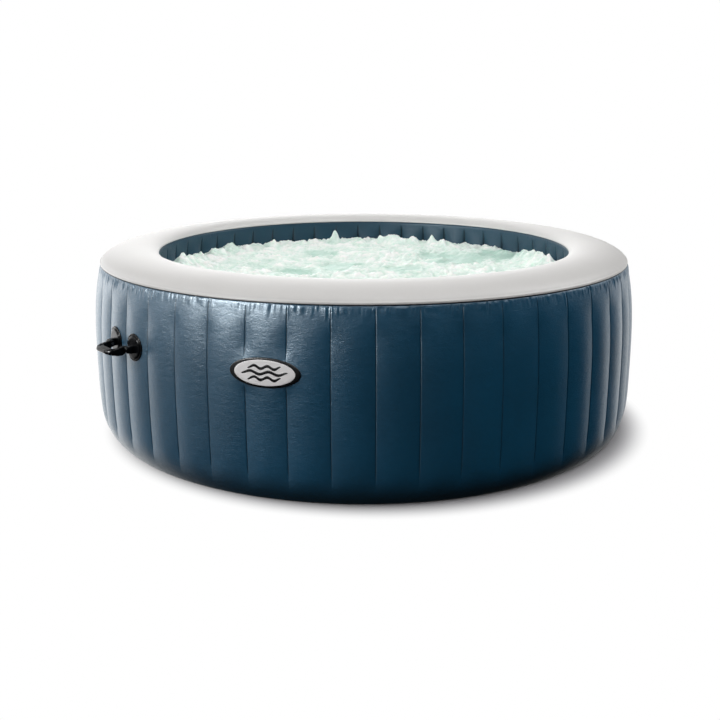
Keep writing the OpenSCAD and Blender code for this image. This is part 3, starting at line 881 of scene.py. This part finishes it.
def badge_shell(name, half_width, half_height, near, far, edge):
    """An oval plate that follows the wall, from near to far above it, with a rounded rim."""
    turn = circle(128)

    def oval(width, height, lift):
        return on_crest(width * cos(turn), BADGE_Z + height * sin(turn), lift)

    rings = [oval(share * half_width, share * half_height, near) for share in (0.02, 0.5, 0.9, 1)]
    for a in np.linspace(0, pi / 2, 6):
        inset = edge * (1 - cos(a))
        rings.append(oval(half_width - inset, half_height - inset, near + (far - near) * sin(a)))
    rings += [oval(share * half_width, share * half_height, far) for share in (0.85, 0.5, 0.02)]
    return loft(name, rings)


def badge_wave(z, half_length):
    """One raised wave of the badge's plain motif."""
    turn = circle(10)
    rings = []
    for s in np.linspace(-1, 1, 60):
        taper = np.sqrt(np.clip(1 - s ** 6, 0.02, 1))
        height = z + WAVE_RISE * sin(s * 2.5 * pi) + WAVE_THICKNESS / 2 * taper * cos(turn)
        rings.append(on_crest(s * half_length, height, FACE_LIFT + 0.5 * MM * sin(turn)))
    return loft("wave", rings)


def make_badge():
    """The badge: a raised border, a white face and a plain motif of three waves."""
    border = badge_shell("badge_border_plate", BADGE_HALF_WIDTH, BADGE_HALF_HEIGHT, -3 * MM, 2.6 * MM,
                         3 * MM)
    finish_piece(border, "tub", "badge_border", "badge_patch")
    face = badge_shell("badge_face_plate", FACE_HALF_WIDTH, FACE_HALF_HEIGHT, 1.0 * MM, FACE_LIFT, 1.5 * MM)
    finish_piece(face, "tub", "badge_white", "badge_face")
    waves = [badge_wave(BADGE_Z + z * MM, length * MM) for z, length in ((18, 56), (0, 78), (-18, 56))]
    finish_piece(joined("badge_waves", waves), "tub", "badge_border")


# ---- carry handles

GRIP_REACH = 67 * MM
GRIP_BAND = 29 * MM
LEG_OUT = 60 * MM
LEG_IN = 46 * MM
CORNER_OUT = 34 * MM
CORNER_IN = 20 * MM


def handle_matrix(joint):
    """Local frame at a grip's hinge, with +X out of the wall and +Y along the hinge's axis."""
    along, up = joint_axis(joint), Vector((0, 0, 1))
    rotation = Matrix((along.cross(up).normalized(), along, up)).transposed().to_4x4()
    return Matrix.Translation(joint_point(joint)) @ rotation


# A pad's disc as (radius, lift over the wall); its boss as outline corners and as (place, inset) along the
# hinge; and the cap on the hinge's end as (place, radius). All in millimetres.
PAD_DISC = [(0.2, -4), (20, -4), (40, -4), (46.2, -4), (47.2, -2), (47.5, 0.5), (47.2, 2.2), (46.3, 3.2),
            (45, 3.6), (43, 3.6), (41.8, 3.0), (41, 2.2), (40.2, 2.0), (39.4, 2.6), (38.8, 4.2), (38, 5.6),
            (36.6, 6.2), (34, 6.3), (28, 5.6), (20, 4.9), (10, 4.6), (0.2, 4.5)]
BOSS_OUTLINE = [(-24, -13), (-4, -12.5), (9.5, -9, 8), (9.5, 9, 8), (-4, 12.5), (-24, 13)]
BOSS_STEPS = [(60.5, 2.2), (60.8, 1.0), (61.8, 0.2), (63, 0), (77.5, 0), (79, 0.4), (79.8, 1.6)]
HINGE_CAP = [(59.6, 0), (59.6, 7.0), (59.9, 8.0), (60.6, 8.6), (61.4, 8.8), (62, 8.8), (62, 0)]


def make_pad(cad_node, joint, side):
    """A round rubber pad moulded over one lobe, with a raised face and the hinge's boss."""
    pivot, matrix = joint_point(joint), handle_matrix(joint)
    pad_angle = math.atan2(pivot.y, pivot.x) + side * PANEL_STEP / 2
    centre_z = sum(corner.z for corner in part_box(cad_node)) / 2
    turn = circle(96)
    rings = []
    for radius, lift in PAD_DISC:
        angle = pad_angle + radius * MM * cos(turn) / TUB_R
        z = centre_z + radius * MM * sin(turn)
        rings.append(ring_points(angle, outer_surface(angle, z) + lift * MM, z))
    outline = rounded(BOSS_OUTLINE, 5.0, 6)
    boss_rings = []
    for y, inset in BOSS_STEPS:
        x, z = outline[:, 0] * (1 - inset / 24), outline[:, 1] * (1 - inset / 13)
        boss_rings.append(np.stack([x, np.full(len(x), side * y), z], -1) * MM)
    cap = lathe("cap", np.array(HINGE_CAP) * MM, 40)
    place(cap, matrix @ Matrix.Rotation(side * pi / 2, 4, "Z"))
    pad = joined(f"{cad_node}_rubber", [loft("disc", rings), place(loft("boss", boss_rings), matrix), cap])
    finish_piece(pad, "tub", "handle_rubber", cad_node)


def grip_stations(leg_steps=12, corner_steps=14, bar_steps=9):
    """Pairs of inner and outer edge points along the grip, from one leg to the other."""
    reach_in = GRIP_REACH - GRIP_BAND
    start_in, start_out = reach_in - CORNER_IN, GRIP_REACH - CORNER_OUT
    side_in, side_out = LEG_IN - CORNER_IN, LEG_OUT - CORNER_OUT
    stations = [((t * start_in, LEG_IN), (t * start_out, LEG_OUT))
                for t in np.linspace(0, 1, leg_steps, endpoint=False)]
    for a in np.linspace(0, pi / 2, corner_steps, endpoint=False):
        s, c = sin(a), cos(a)
        stations.append(((start_in + CORNER_IN * s, side_in + CORNER_IN * c),
                         (start_out + CORNER_OUT * s, side_out + CORNER_OUT * c)))
    stations += [((reach_in, y), (GRIP_REACH, y)) for y in np.linspace(side_in, 0, bar_steps)]
    mirrored = [((i[0], -i[1]), (o[0], -o[1])) for i, o in stations[-2::-1]]
    return np.array(stations + mirrored)


GRIP_RIBS = 4
RIB_HEIGHT = 1.8 * MM
# The grip's side view: distance from the hinge, and the heights of its top and its underside there
GRIP_SIDE_X = np.array([-1, 6, 14, 30, 50, 68]) * MM
GRIP_TOP = np.array([11.0, 12.5, 10.5, 5.5, 2.0, 0.5]) * MM
GRIP_UNDER = np.array([-11.0, -15.0, -19.5, -19.0, -15.0, -11.5]) * MM


def grip_face(inner, outer, u, side):
    """One face of the grip's rounded section, at shares u from its inner to its outer edge; side is 1
    for the top and -1 for the underside."""
    edge = inner + (outer - inner) * u[:, None]
    top, under = (np.interp(edge[:, 0], GRIP_SIDE_X, heights) for heights in (GRIP_TOP, GRIP_UNDER))
    arch = (1 - np.abs(2 * u - 1) ** 7) ** 0.5
    return edge, (top + under) / 2 + side * (top - under) / 2 * arch


def make_grip(cad_node, joint):
    """The rubber grip: a broad ribbed band whose two legs deepen into knuckles on the hinge."""
    across_top = (1 - cos(np.linspace(0, pi, 45))) / 2
    wave = np.clip(cos((across_top * GRIP_RIBS - 0.5) * 2 * pi), -0.55, 0.75)
    wave = wave * smooth(0.02, 0.10, across_top) * smooth(0.98, 0.90, across_top)
    rings = []
    for inner, outer in grip_stations():
        top, z_top = grip_face(inner, outer, across_top, 1)
        under, z_under = grip_face(inner, outer, across_top[-2:0:-3], -1)
        z_top = z_top + RIB_HEIGHT * wave * smooth(14 * MM, 34 * MM, top[:, 0])
        rings.append(np.concatenate([np.column_stack([top, z_top]), np.column_stack([under, z_under])]))
    parts = [loft("band", rings)]
    knuckle = rounded([(46, 5.0), (46, 11.6, 2.5), (60, 11.6, 2.5), (60, 5.0)], 0.6, 5) * MM
    for side in (-1, 1):
        parts.append(place(lathe("knuckle", knuckle, 56), Matrix.Rotation(side * pi / 2, 4, "Z")))
    grip = place(joined(f"{cad_node}_rubber", parts), handle_matrix(joint))
    finish_piece(grip, f"{cad_node}_body", "handle_rubber", cad_node)


def make_handles():
    """Both carry handles: two pads and a grip each."""
    for side, front in (("left", 1), ("right", -1)):
        joint = f"{side}_grip_hinge"
        make_pad(f"{side}_front_pad", joint, front)
        make_pad(f"{side}_rear_pad", joint, -front)
        make_grip(f"{side}_grip", joint)


# ---- ports, drain and valve

WATER_THREAD_R = 30 * MM
WATER_BORE_R = 19 * MM
FLANGE_THICK = 8 * MM
FLANGE_RIBS = 6
RIB_THICK = 2.2 * MM
PIPE_R = 24 * MM
DRAIN_PIPE_R = 16 * MM
VALVE_BORE_R = 15.05 * MM
THREAD_PITCH = 5.5 * MM
THREAD_DEPTH = 2.0 * MM
FLUTE_DEPTH = 1.5 * MM


def local_points(cad_node, angle):
    """A CAD node's points in a frame whose +X points along an angle."""
    turned = Matrix.Rotation(-angle, 3, "Z")
    return np.array([turned @ v.co for v in frame["nodes"][cad_node].data.vertices])


def local_extent(cad_node, angle):
    """Where a CAD node starts and ends along local X, its middle's Y and Z, and its radius."""
    points = local_points(cad_node, angle)
    low, high = points.min(0), points.max(0)
    return low[0], high[0], (low[1] + high[1]) / 2, (low[2] + high[2]) / 2, (high[2] - low[2]) / 2


def threaded(start, end):
    """A change that cuts a screw thread between two places along X."""
    def change(x, radius, angle):
        turns = (x - start) / THREAD_PITCH - angle / (2 * pi)
        ridge = 1 - np.abs(2 * (turns - np.floor(turns)) - 1)
        ends = smooth(start, start + 2.5 * MM, x) * smooth(end, end - 2.5 * MM, x)
        return radius - THREAD_DEPTH * smooth(0.62, 0.30, ridge) * ends
    return change


def fluted(count, start, end):
    """A change that presses finger flutes round a cap between two places along X."""
    def change(x, radius, angle):
        groove = np.abs(cos(angle * count / 2)) ** 8
        inside = smooth(start, start + 1.2 * MM, x) * smooth(end + 0.1 * MM, end - 1.0 * MM, x)
        return radius - FLUTE_DEPTH * groove * inside * (radius > 6 * MM)
    return change


def wall_circle(y, z, radius, lift):
    """A circle in a fitting's local frame, laid on the outer wall and lifted by some millimetres."""
    turn = circle(96)
    across, height = y + radius * cos(turn), z + radius * sin(turn)
    return np.stack([np.sqrt(outer_crest(height) ** 2 - across ** 2) + lift * MM, across, height], -1)


def make_seat(kind, angle, pipe_r):
    """A moulded seat between the curved wall and a fitting's flat flange, with a welded skirt."""
    _, face, y, z, radius = local_extent(f"{kind}_saddle", angle)
    bore = pipe_r + 0.2 * MM
    rings = [wall_circle(y, z, bore, -3), wall_circle(y, z, 0.7 * radius, -3)]
    for out, lift in ((6.5, -2.4), (7, 0.2), (6.2, 1.2), (3.5, 1.7), (1.4, 2.4), (0.4, 3.6)):
        rings.append(wall_circle(y, z, radius + out * MM, lift))
    for r, back in ((radius, 1.6), (radius - 0.3 * MM, 0.5), (radius - 1.4 * MM, 0), (0.8 * radius, 0),
                    (bore, 0)):
        ring = wall_circle(y, z, r, 0.6)
        ring[:, 0] = np.maximum(ring[:, 0], face - back * MM)
        rings.append(ring)
    seat = place(ring_solid(f"{kind}_saddle_seat", np.array(rings)), outward(angle))
    finish_piece(seat, "tub", "seal_rubber", f"{kind}_saddle")


def spigot_profile(inner_end, face, flange_r, flange_top, outer_end):
    """Outline of a flanged, threaded spigot: along the outside and back through its bore."""
    return [*offset(inner_end, WATER_BORE_R, [(0, 1)]), (inner_end + 1 * MM, PIPE_R),
            *offset(face, PIPE_R, [(-0.2, 0), (0, 0.3)]),
            *offset(face, flange_r, [(0, -1.2), (0.5, -0.3), (1.4, 0)]),
            *offset(flange_top, flange_r, [(-2.2, 0), (-0.9, -0.4), (-0.2, -1.5), (0, -2.6), (0, -4.2),
                                           (-1.2, -5), (-1.2, -7), (0, -7.8)]),
            *offset(flange_top, WATER_THREAD_R, [(0.2, 1.6), (0.9, 0.4), (2, 0)]),
            *((x, WATER_THREAD_R) for x in np.arange(flange_top + 3 * MM, outer_end - 2.4 * MM, 0.7 * MM)),
            *offset(outer_end, WATER_THREAD_R, [(-2, -0.1), (-0.7, -1.4), (-0.1, -2.4)]),
            *offset(outer_end, WATER_BORE_R, [(0, 1.6), (-0.3, 0.5), (-1.2, 0)]),
            *((x, WATER_BORE_R) for x in np.linspace(outer_end - 8 * MM, inner_end + 2 * MM, 8))]


def make_spigot(kind, angle):
    """A water port whose flange seats on the wall, with grip ribs round its flange and a real thread."""
    inner_end, outer_end, y, z, flange_r = local_extent(f"{kind}_port", angle)
    points = local_points(f"{kind}_port", angle)
    away = np.hypot(points[:, 1] - y, points[:, 2] - z)
    face = points[away > flange_r - 0.5 * MM, 0].min()
    flange_top = face + FLANGE_THICK
    outline = spigot_profile(inner_end, face, flange_r, flange_top, outer_end)
    parts = [lathe("spigot", outline, 120, threaded(flange_top + 4 * MM, outer_end - 1.5 * MM))]
    rib = rounded([(0, 0), (0, 9), (0.8, 9), (5, 1.5), (5, 0)], 0.5, 3) * MM
    flat = np.stack([rib[:, 0], rib[:, 1] * 0.72, np.zeros(len(rib))], -1)
    flat = flat + (flange_top - 0.6 * MM, WATER_THREAD_R - 1.5 * MM, 0)
    middle = flat.mean(0)
    rings = [(flat - middle) * (size, size, 1) + middle + (0, 0, share * RIB_THICK / 2)
             for share, size in ((-1, 0.9), (-0.7, 1), (0.7, 1), (1, 0.9))]
    for k in range(FLANGE_RIBS):
        turn = Matrix.Rotation((k + 0.5) * 2 * pi / FLANGE_RIBS, 4, "X")
        parts.append(place(loft("rib", rings), turn))
    port = place(joined(f"{kind}_port_spigot", parts), outward(angle, 0, y, z))
    finish_piece(port, "tub", "port_plastic", f"{kind}_port")


def make_cap(kind, angle, flutes, neck, bore):
    """A screw cap: a lip and neck for its tether, finger flutes and a dished end with a grip bar."""
    start, end, y, z, r = local_extent(f"{kind}_cap", angle)
    shoulder, dish = start + 6 * MM, end - 0.9 * MM
    outline = [*offset(start, bore, [(0.2, 0), (0, 0.4)]),
               *offset(start, r, [(0, -0.5), (0.5, 0), (1.1, 0), (1.6, -0.5)]),
               (start + 1.8 * MM, r - neck), (shoulder - 0.2 * MM, r - neck),
               *offset(shoulder, r, [(0, -0.8), (0.5, -0.1)]),
               *((x, r) for x in np.linspace(shoulder + 1 * MM, end - 2 * MM, 10)),
               *offset(end, r, [(-1.2, -0.3), (-0.4, -1.1), (0, -2.2), (0, -4), (-0.8, -4.8),
                                (-0.9, -6.5)]),
               (dish, 0.3 * r), *offset(end, 0, [(-0.9, 0.4), (-2.6, 0.4)]),
               *offset(end, bore, [(-2.6, -1), (-3, 0)]),
               *((x, bore) for x in np.linspace(end - 4 * MM, start + 1 * MM, 5))]
    shell = lathe("cap", outline, 16 * flutes, fluted(flutes, shoulder + 0.6 * MM, end - 1.2 * MM))
    half, half_width = r - 6.0 * MM, 1.8 * MM
    bar = rounded([(-half, -half_width), (half, -half_width), (half, half_width), (-half, half_width)],
                  1.6 * MM, 5)
    rings = []
    for x, inset in ((-1.4, 0), (0.2, 0), (0.7, 0.25), (0.9, 0.8)):
        shape = bar * (1 - inset * MM / half, 1 - inset * MM / half_width)
        rings.append(np.column_stack([np.full(len(bar), dish + x * MM), shape]))
    cap = joined(f"{kind}_cap_shell", [shell, loft("bar", rings)])
    place(cap, outward(angle, 0, y, z))
    finish_piece(cap, f"{kind}_cap_body", "port_plastic", f"{kind}_cap")


def make_tether(kind, angle, reach, slope):
    """The tether: a ring loose on the cap's neck, with a short moulded strap below it."""
    start, end, y, z, r = local_extent(f"{kind}_cap_ring", angle)
    points = local_points(f"{kind}_cap_ring", angle)
    hole = np.hypot(points[:, 1] - y, points[:, 2] - z).min()
    profile = rounded([(start, hole), (end, hole), (end, r), (start, r)], 0.45 * MM, 3)
    tab = rounded([(-4.5 * MM, -r - reach), (4.5 * MM, -r - reach), (3.2 * MM, -r + 1.2 * MM),
                   (-3.2 * MM, -r + 1.2 * MM)], 2.2 * MM, 6)
    rings = []
    for share, inset in ((-0.5, 0.6), (-0.42, 0.15), (-0.3, 0), (0.3, 0), (0.42, 0.15), (0.5, 0.6)):
        shape = (tab - tab.mean(0)) * (1 - inset / 5) + tab.mean(0)
        back = slope * np.clip(-shape[:, 1] - r, 0, None)
        rings.append(np.column_stack([(start + end) / 2 + share * 0.7 * (end - start) - back, shape]))
    tether = joined(f"{kind}_cap_tether", [lathe("ring", profile, 96), loft("strap", rings)])
    place(tether, outward(angle, 0, y, z))
    finish_piece(tether, f"{kind}_ring_body", "grey_plastic", f"{kind}_cap_ring")


def make_valve_boss(angle):
    """The valve's welded boss: a flange that follows the wall, and a collar round the insert."""
    inner_end, collar, y, z, radius = local_extent("valve_boss", angle)
    turn = circle(96)

    def flat(r, x):
        return np.stack([np.full(len(turn), x), y + r * cos(turn), z + r * sin(turn)], -1)

    rings = [flat(r, x) for x, r in [(inner_end, VALVE_BORE_R), (inner_end, 20 * MM),
                                     (inner_end + 8 * MM, 20 * MM)]]
    rings.append(wall_circle(y, z, 20.5 * MM, -3))
    for out, lift in ((-1, -3), (5.5, -2), (6, 0.3), (5, 1.3), (1, 1.8), (-2, 2.8), (-4, 4.4), (-6, 5)):
        rings.append(wall_circle(y, z, radius + out * MM, lift))
    for r, lift in ((24, 5.2), (21.5, 5.8), (20.2, 7.2)):
        rings.append(wall_circle(y, z, r * MM, lift))
    for r, back in ((20, 2), (19.6, 0.6), (18.6, 0), (15.6, 0)):
        rings.append(flat(r * MM, collar - back * MM))
    rings.append(flat(VALVE_BORE_R, collar - 0.5 * MM))
    boss = place(ring_solid("valve_boss_shell", np.array(rings)), outward(angle))
    finish_piece(boss, "tub", "port_plastic", "valve_boss")


def make_valve_spring(angle):
    """The plunger's coil spring, which shortens towards the spider as the plunger is pushed in."""
    start, end, y, z, outside = local_extent("valve_spring", angle)
    wire, turns, length = 0.6 * MM, 6, end - start
    section = circle(12)
    rings = []
    for t in np.linspace(0, 1, turns * 30 + 1):
        a = 2 * pi * turns * t
        radius = outside - wire + wire * cos(section)
        x = start + wire + (length - 2 * wire) * t + wire * sin(section)
        rings.append(np.stack([x, radius * cos(a), radius * sin(a)], -1))
    spring = place(loft("valve_spring_coil", rings), outward(angle, 0, y, z))
    finish_piece(spring, "tub", "spring_steel", "valve_spring")
    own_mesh(spring)


def make_fittings():
    """The seats, ports, caps and the valve at the back of the side wall."""
    port_angle = direction_of("air_port")
    for kind in ("suction", "return"):
        make_seat(kind, port_angle, PIPE_R)
        make_spigot(kind, port_angle)
    make_seat("air", port_angle, PIPE_R)
    drain_angle = direction_of("drain_port")
    make_seat("drain", drain_angle, DRAIN_PIPE_R)
    make_tether("drain", drain_angle, 9 * MM, 0.25)
    make_cap("drain", drain_angle, 12, 2.6 * MM, 20.3 * MM)
    valve_angle = direction_of("valve_insert")
    make_valve_boss(valve_angle)
    make_valve_spring(valve_angle)
    make_tether("valve", valve_angle, 8 * MM, 0.1)
    make_cap("valve", valve_angle, 10, 2.0 * MM, 14.3 * MM)


# ---- room, light and camera

VIEW_TURN = math.radians(16.75)
VIEW_DISTANCE = 3.874
VIEW_HEIGHT = 1.260
VIEW_PITCH = math.radians(15.31)
LAMP_DISTANCE = 4.2


def make_camera():
    """A camera that sees the tub as the photograph does."""
    data = bpy.data.cameras.new("camera")
    data.sensor_width = 36.0
    data.lens = 47.55
    data.shift_x = -0.0053
    data.clip_end = 100
    camera = new_object("camera", data)
    camera.location = (VIEW_DISTANCE * sin(VIEW_TURN), -VIEW_DISTANCE * cos(VIEW_TURN), VIEW_HEIGHT)
    camera.rotation_euler = (pi / 2 - VIEW_PITCH, 0, VIEW_TURN)
    bpy.context.scene.camera = camera


def toward(turn, rise):
    """Unit vector at a turn in degrees from -Y towards +X, and a rise above the horizon."""
    turn, rise = math.radians(turn), math.radians(rise)
    return Vector((sin(turn) * cos(rise), -cos(turn) * cos(rise), sin(rise)))


def add_softbox(name, turn, rise, width, height, power, color):
    """A rectangular lamp that faces the tub's rim from a turn and a rise, and isn't seen itself."""
    data = bpy.data.lights.new(name, "AREA")
    data.shape = "RECTANGLE"
    data.size, data.size_y = width, height
    data.energy = power
    data.color = color
    lamp = new_object(name, data)
    rim = Vector((0, 0, 0.5))
    lamp.location = rim + toward(turn, rise) * LAMP_DISTANCE
    lamp.rotation_euler = (rim - lamp.location).to_track_quat("-Z", "Y").to_euler()
    lamp.visible_camera = False
    return lamp


def make_lights():
    """A weak soft key, and a panel that only shows as a highlight on the wall's shoulder."""
    add_softbox("key_soft", -28, 30, 1.0, 0.8, 4, (1.0, 0.995, 0.98))
    sheen = add_softbox("sheen_panel", -30, 23, 1.0, 0.7, 140, (0.97, 0.99, 1.0))
    sheen.visible_diffuse = False


# Glowing parts of the studio: turn, rise, angles where each fades out and is full, and strength
GLOWS = [(-65, 30, 14, 4, 7.0), (-65, 18, 14, 4, 3.5), (-36, 18, 15, 5, 3.0), (-20, 24, 15, 5, 2.0),
         (124, 38, 26, 8, 4.2), (-90, 38, 30, 8, 0.6), (-158, 12, 28, 6, 2.2), (-110, 8, 28, 6, 1.8),
         (-45, 12, 28, 6, 0.2), (-150, -16, 34, 8, 1.2), (-115, -16, 34, 8, 1.4), (-60, -16, 34, 8, 0.15),
         (-180, -16, 34, 8, 0.6), (152, -8, 20, 6, 1.3), (50, 66, 30, 10, 3.4)]
AMBIENT = 0.012

# Middle of the floor's grey patch of painted shadow, to the right of and behind the tub's as the camera sees it
SHADOW_PATCH_CENTRE = (0.05, -0.045, 0)
FLOOR_RADII = (0.1, 1.2, 3.0, 30.0)


def make_world():
    """A dark studio with glowing walls to the left, behind and overhead; its backdrop shows white."""
    world = bpy.data.worlds.new("studio")
    bpy.context.scene.world = world
    world.use_nodes = True
    tree = world.node_tree
    background = tree.nodes["Background"]
    direction = node(tree, "TexCoord").outputs["Generated"]
    total = None
    for turn, rise, outside, inside, strength in GLOWS:
        facing = node(tree, "VectorMath", [(0, direction), (1, toward(turn, rise))],
                      operation="DOT_PRODUCT")
        low, high = cos(math.radians(outside)), cos(math.radians(inside))
        glow = smooth_range(tree, facing.outputs["Value"], low, high, strength)
        total = glow if total is None else math_node(tree, "ADD", total, glow)
    total = math_node(tree, "ADD", total, AMBIENT)
    seen = node(tree, "LightPath").outputs["Is Camera Ray"]
    strength = map_range(tree, seen, 0.0, 1.0, total, 1.0)
    tree.links.new(strength, background.inputs["Strength"])
    background.inputs["Color"].default_value = (1, 1, 1, 1)


def make_floor():
    """A grey floor round the tub, a painted shadow under the real one, that turns into even white a short way from
    the tub.
    """
    # Painted shadow: the floor's dark grey near the tub deepens the shadow round its foot.
    tree, shader = new_material("studio_floor", (0.32, 0.315, 0.328), 0.6)
    coordinates = node(tree, "TexCoord").outputs["Object"]
    centre = Matrix.Rotation(VIEW_TURN, 3, "Z") @ Vector(SHADOW_PATCH_CENTRE)
    moved = node(tree, "VectorMath", [(0, coordinates), (1, centre)], operation="SUBTRACT")
    length = node(tree, "VectorMath", [(0, moved.outputs["Vector"])], operation="LENGTH")
    # The painted shadow fades into white between 0.99 m and 1.12 m from the moved centre.
    far = smooth_range(tree, length.outputs["Value"], 0.99, 1.12, 1.0)
    glow = node(tree, "Emission", [("Color", (1, 1, 1, 1)), ("Strength", 1.0)])
    mix = node(tree, "MixShader", [("Fac", far), (1, shader.outputs["BSDF"]),
               (2, glow.outputs["Emission"])])
    tree.links.new(mix.outputs["Shader"], tree.nodes["Material Output"].inputs["Surface"])
    around = 128
    rows = np.array([ring_points(circle(around), r, 0.0) for r in FLOOR_RADII])
    middle = len(FLOOR_RADII) * around
    faces = grid_faces(len(FLOOR_RADII), around, False, True)
    faces += [(middle, b, a) for a, b in sides(around)]
    floor = add_mesh("studio_floor", np.concatenate([rows.reshape(-1, 3), [[0, 0, 0]]]), faces)
    floor.data.flip_normals()
    floor.data.materials.append(MATERIALS["studio_floor"])
    floor.visible_glossy = False
    floor.visible_diffuse = False
    floor.visible_shadow = False


# ---- everything together

make_materials()
make_camera()
make_world()
make_lights()
make_floor()
paint_cad_nodes()
make_outer_wall()
make_inner_wall()
make_top_ring()
make_welds()
make_webs()
make_base()
make_water()
make_badge()
make_handles()
make_fittings()

bpy.context.scene.view_settings.view_transform = "Standard"
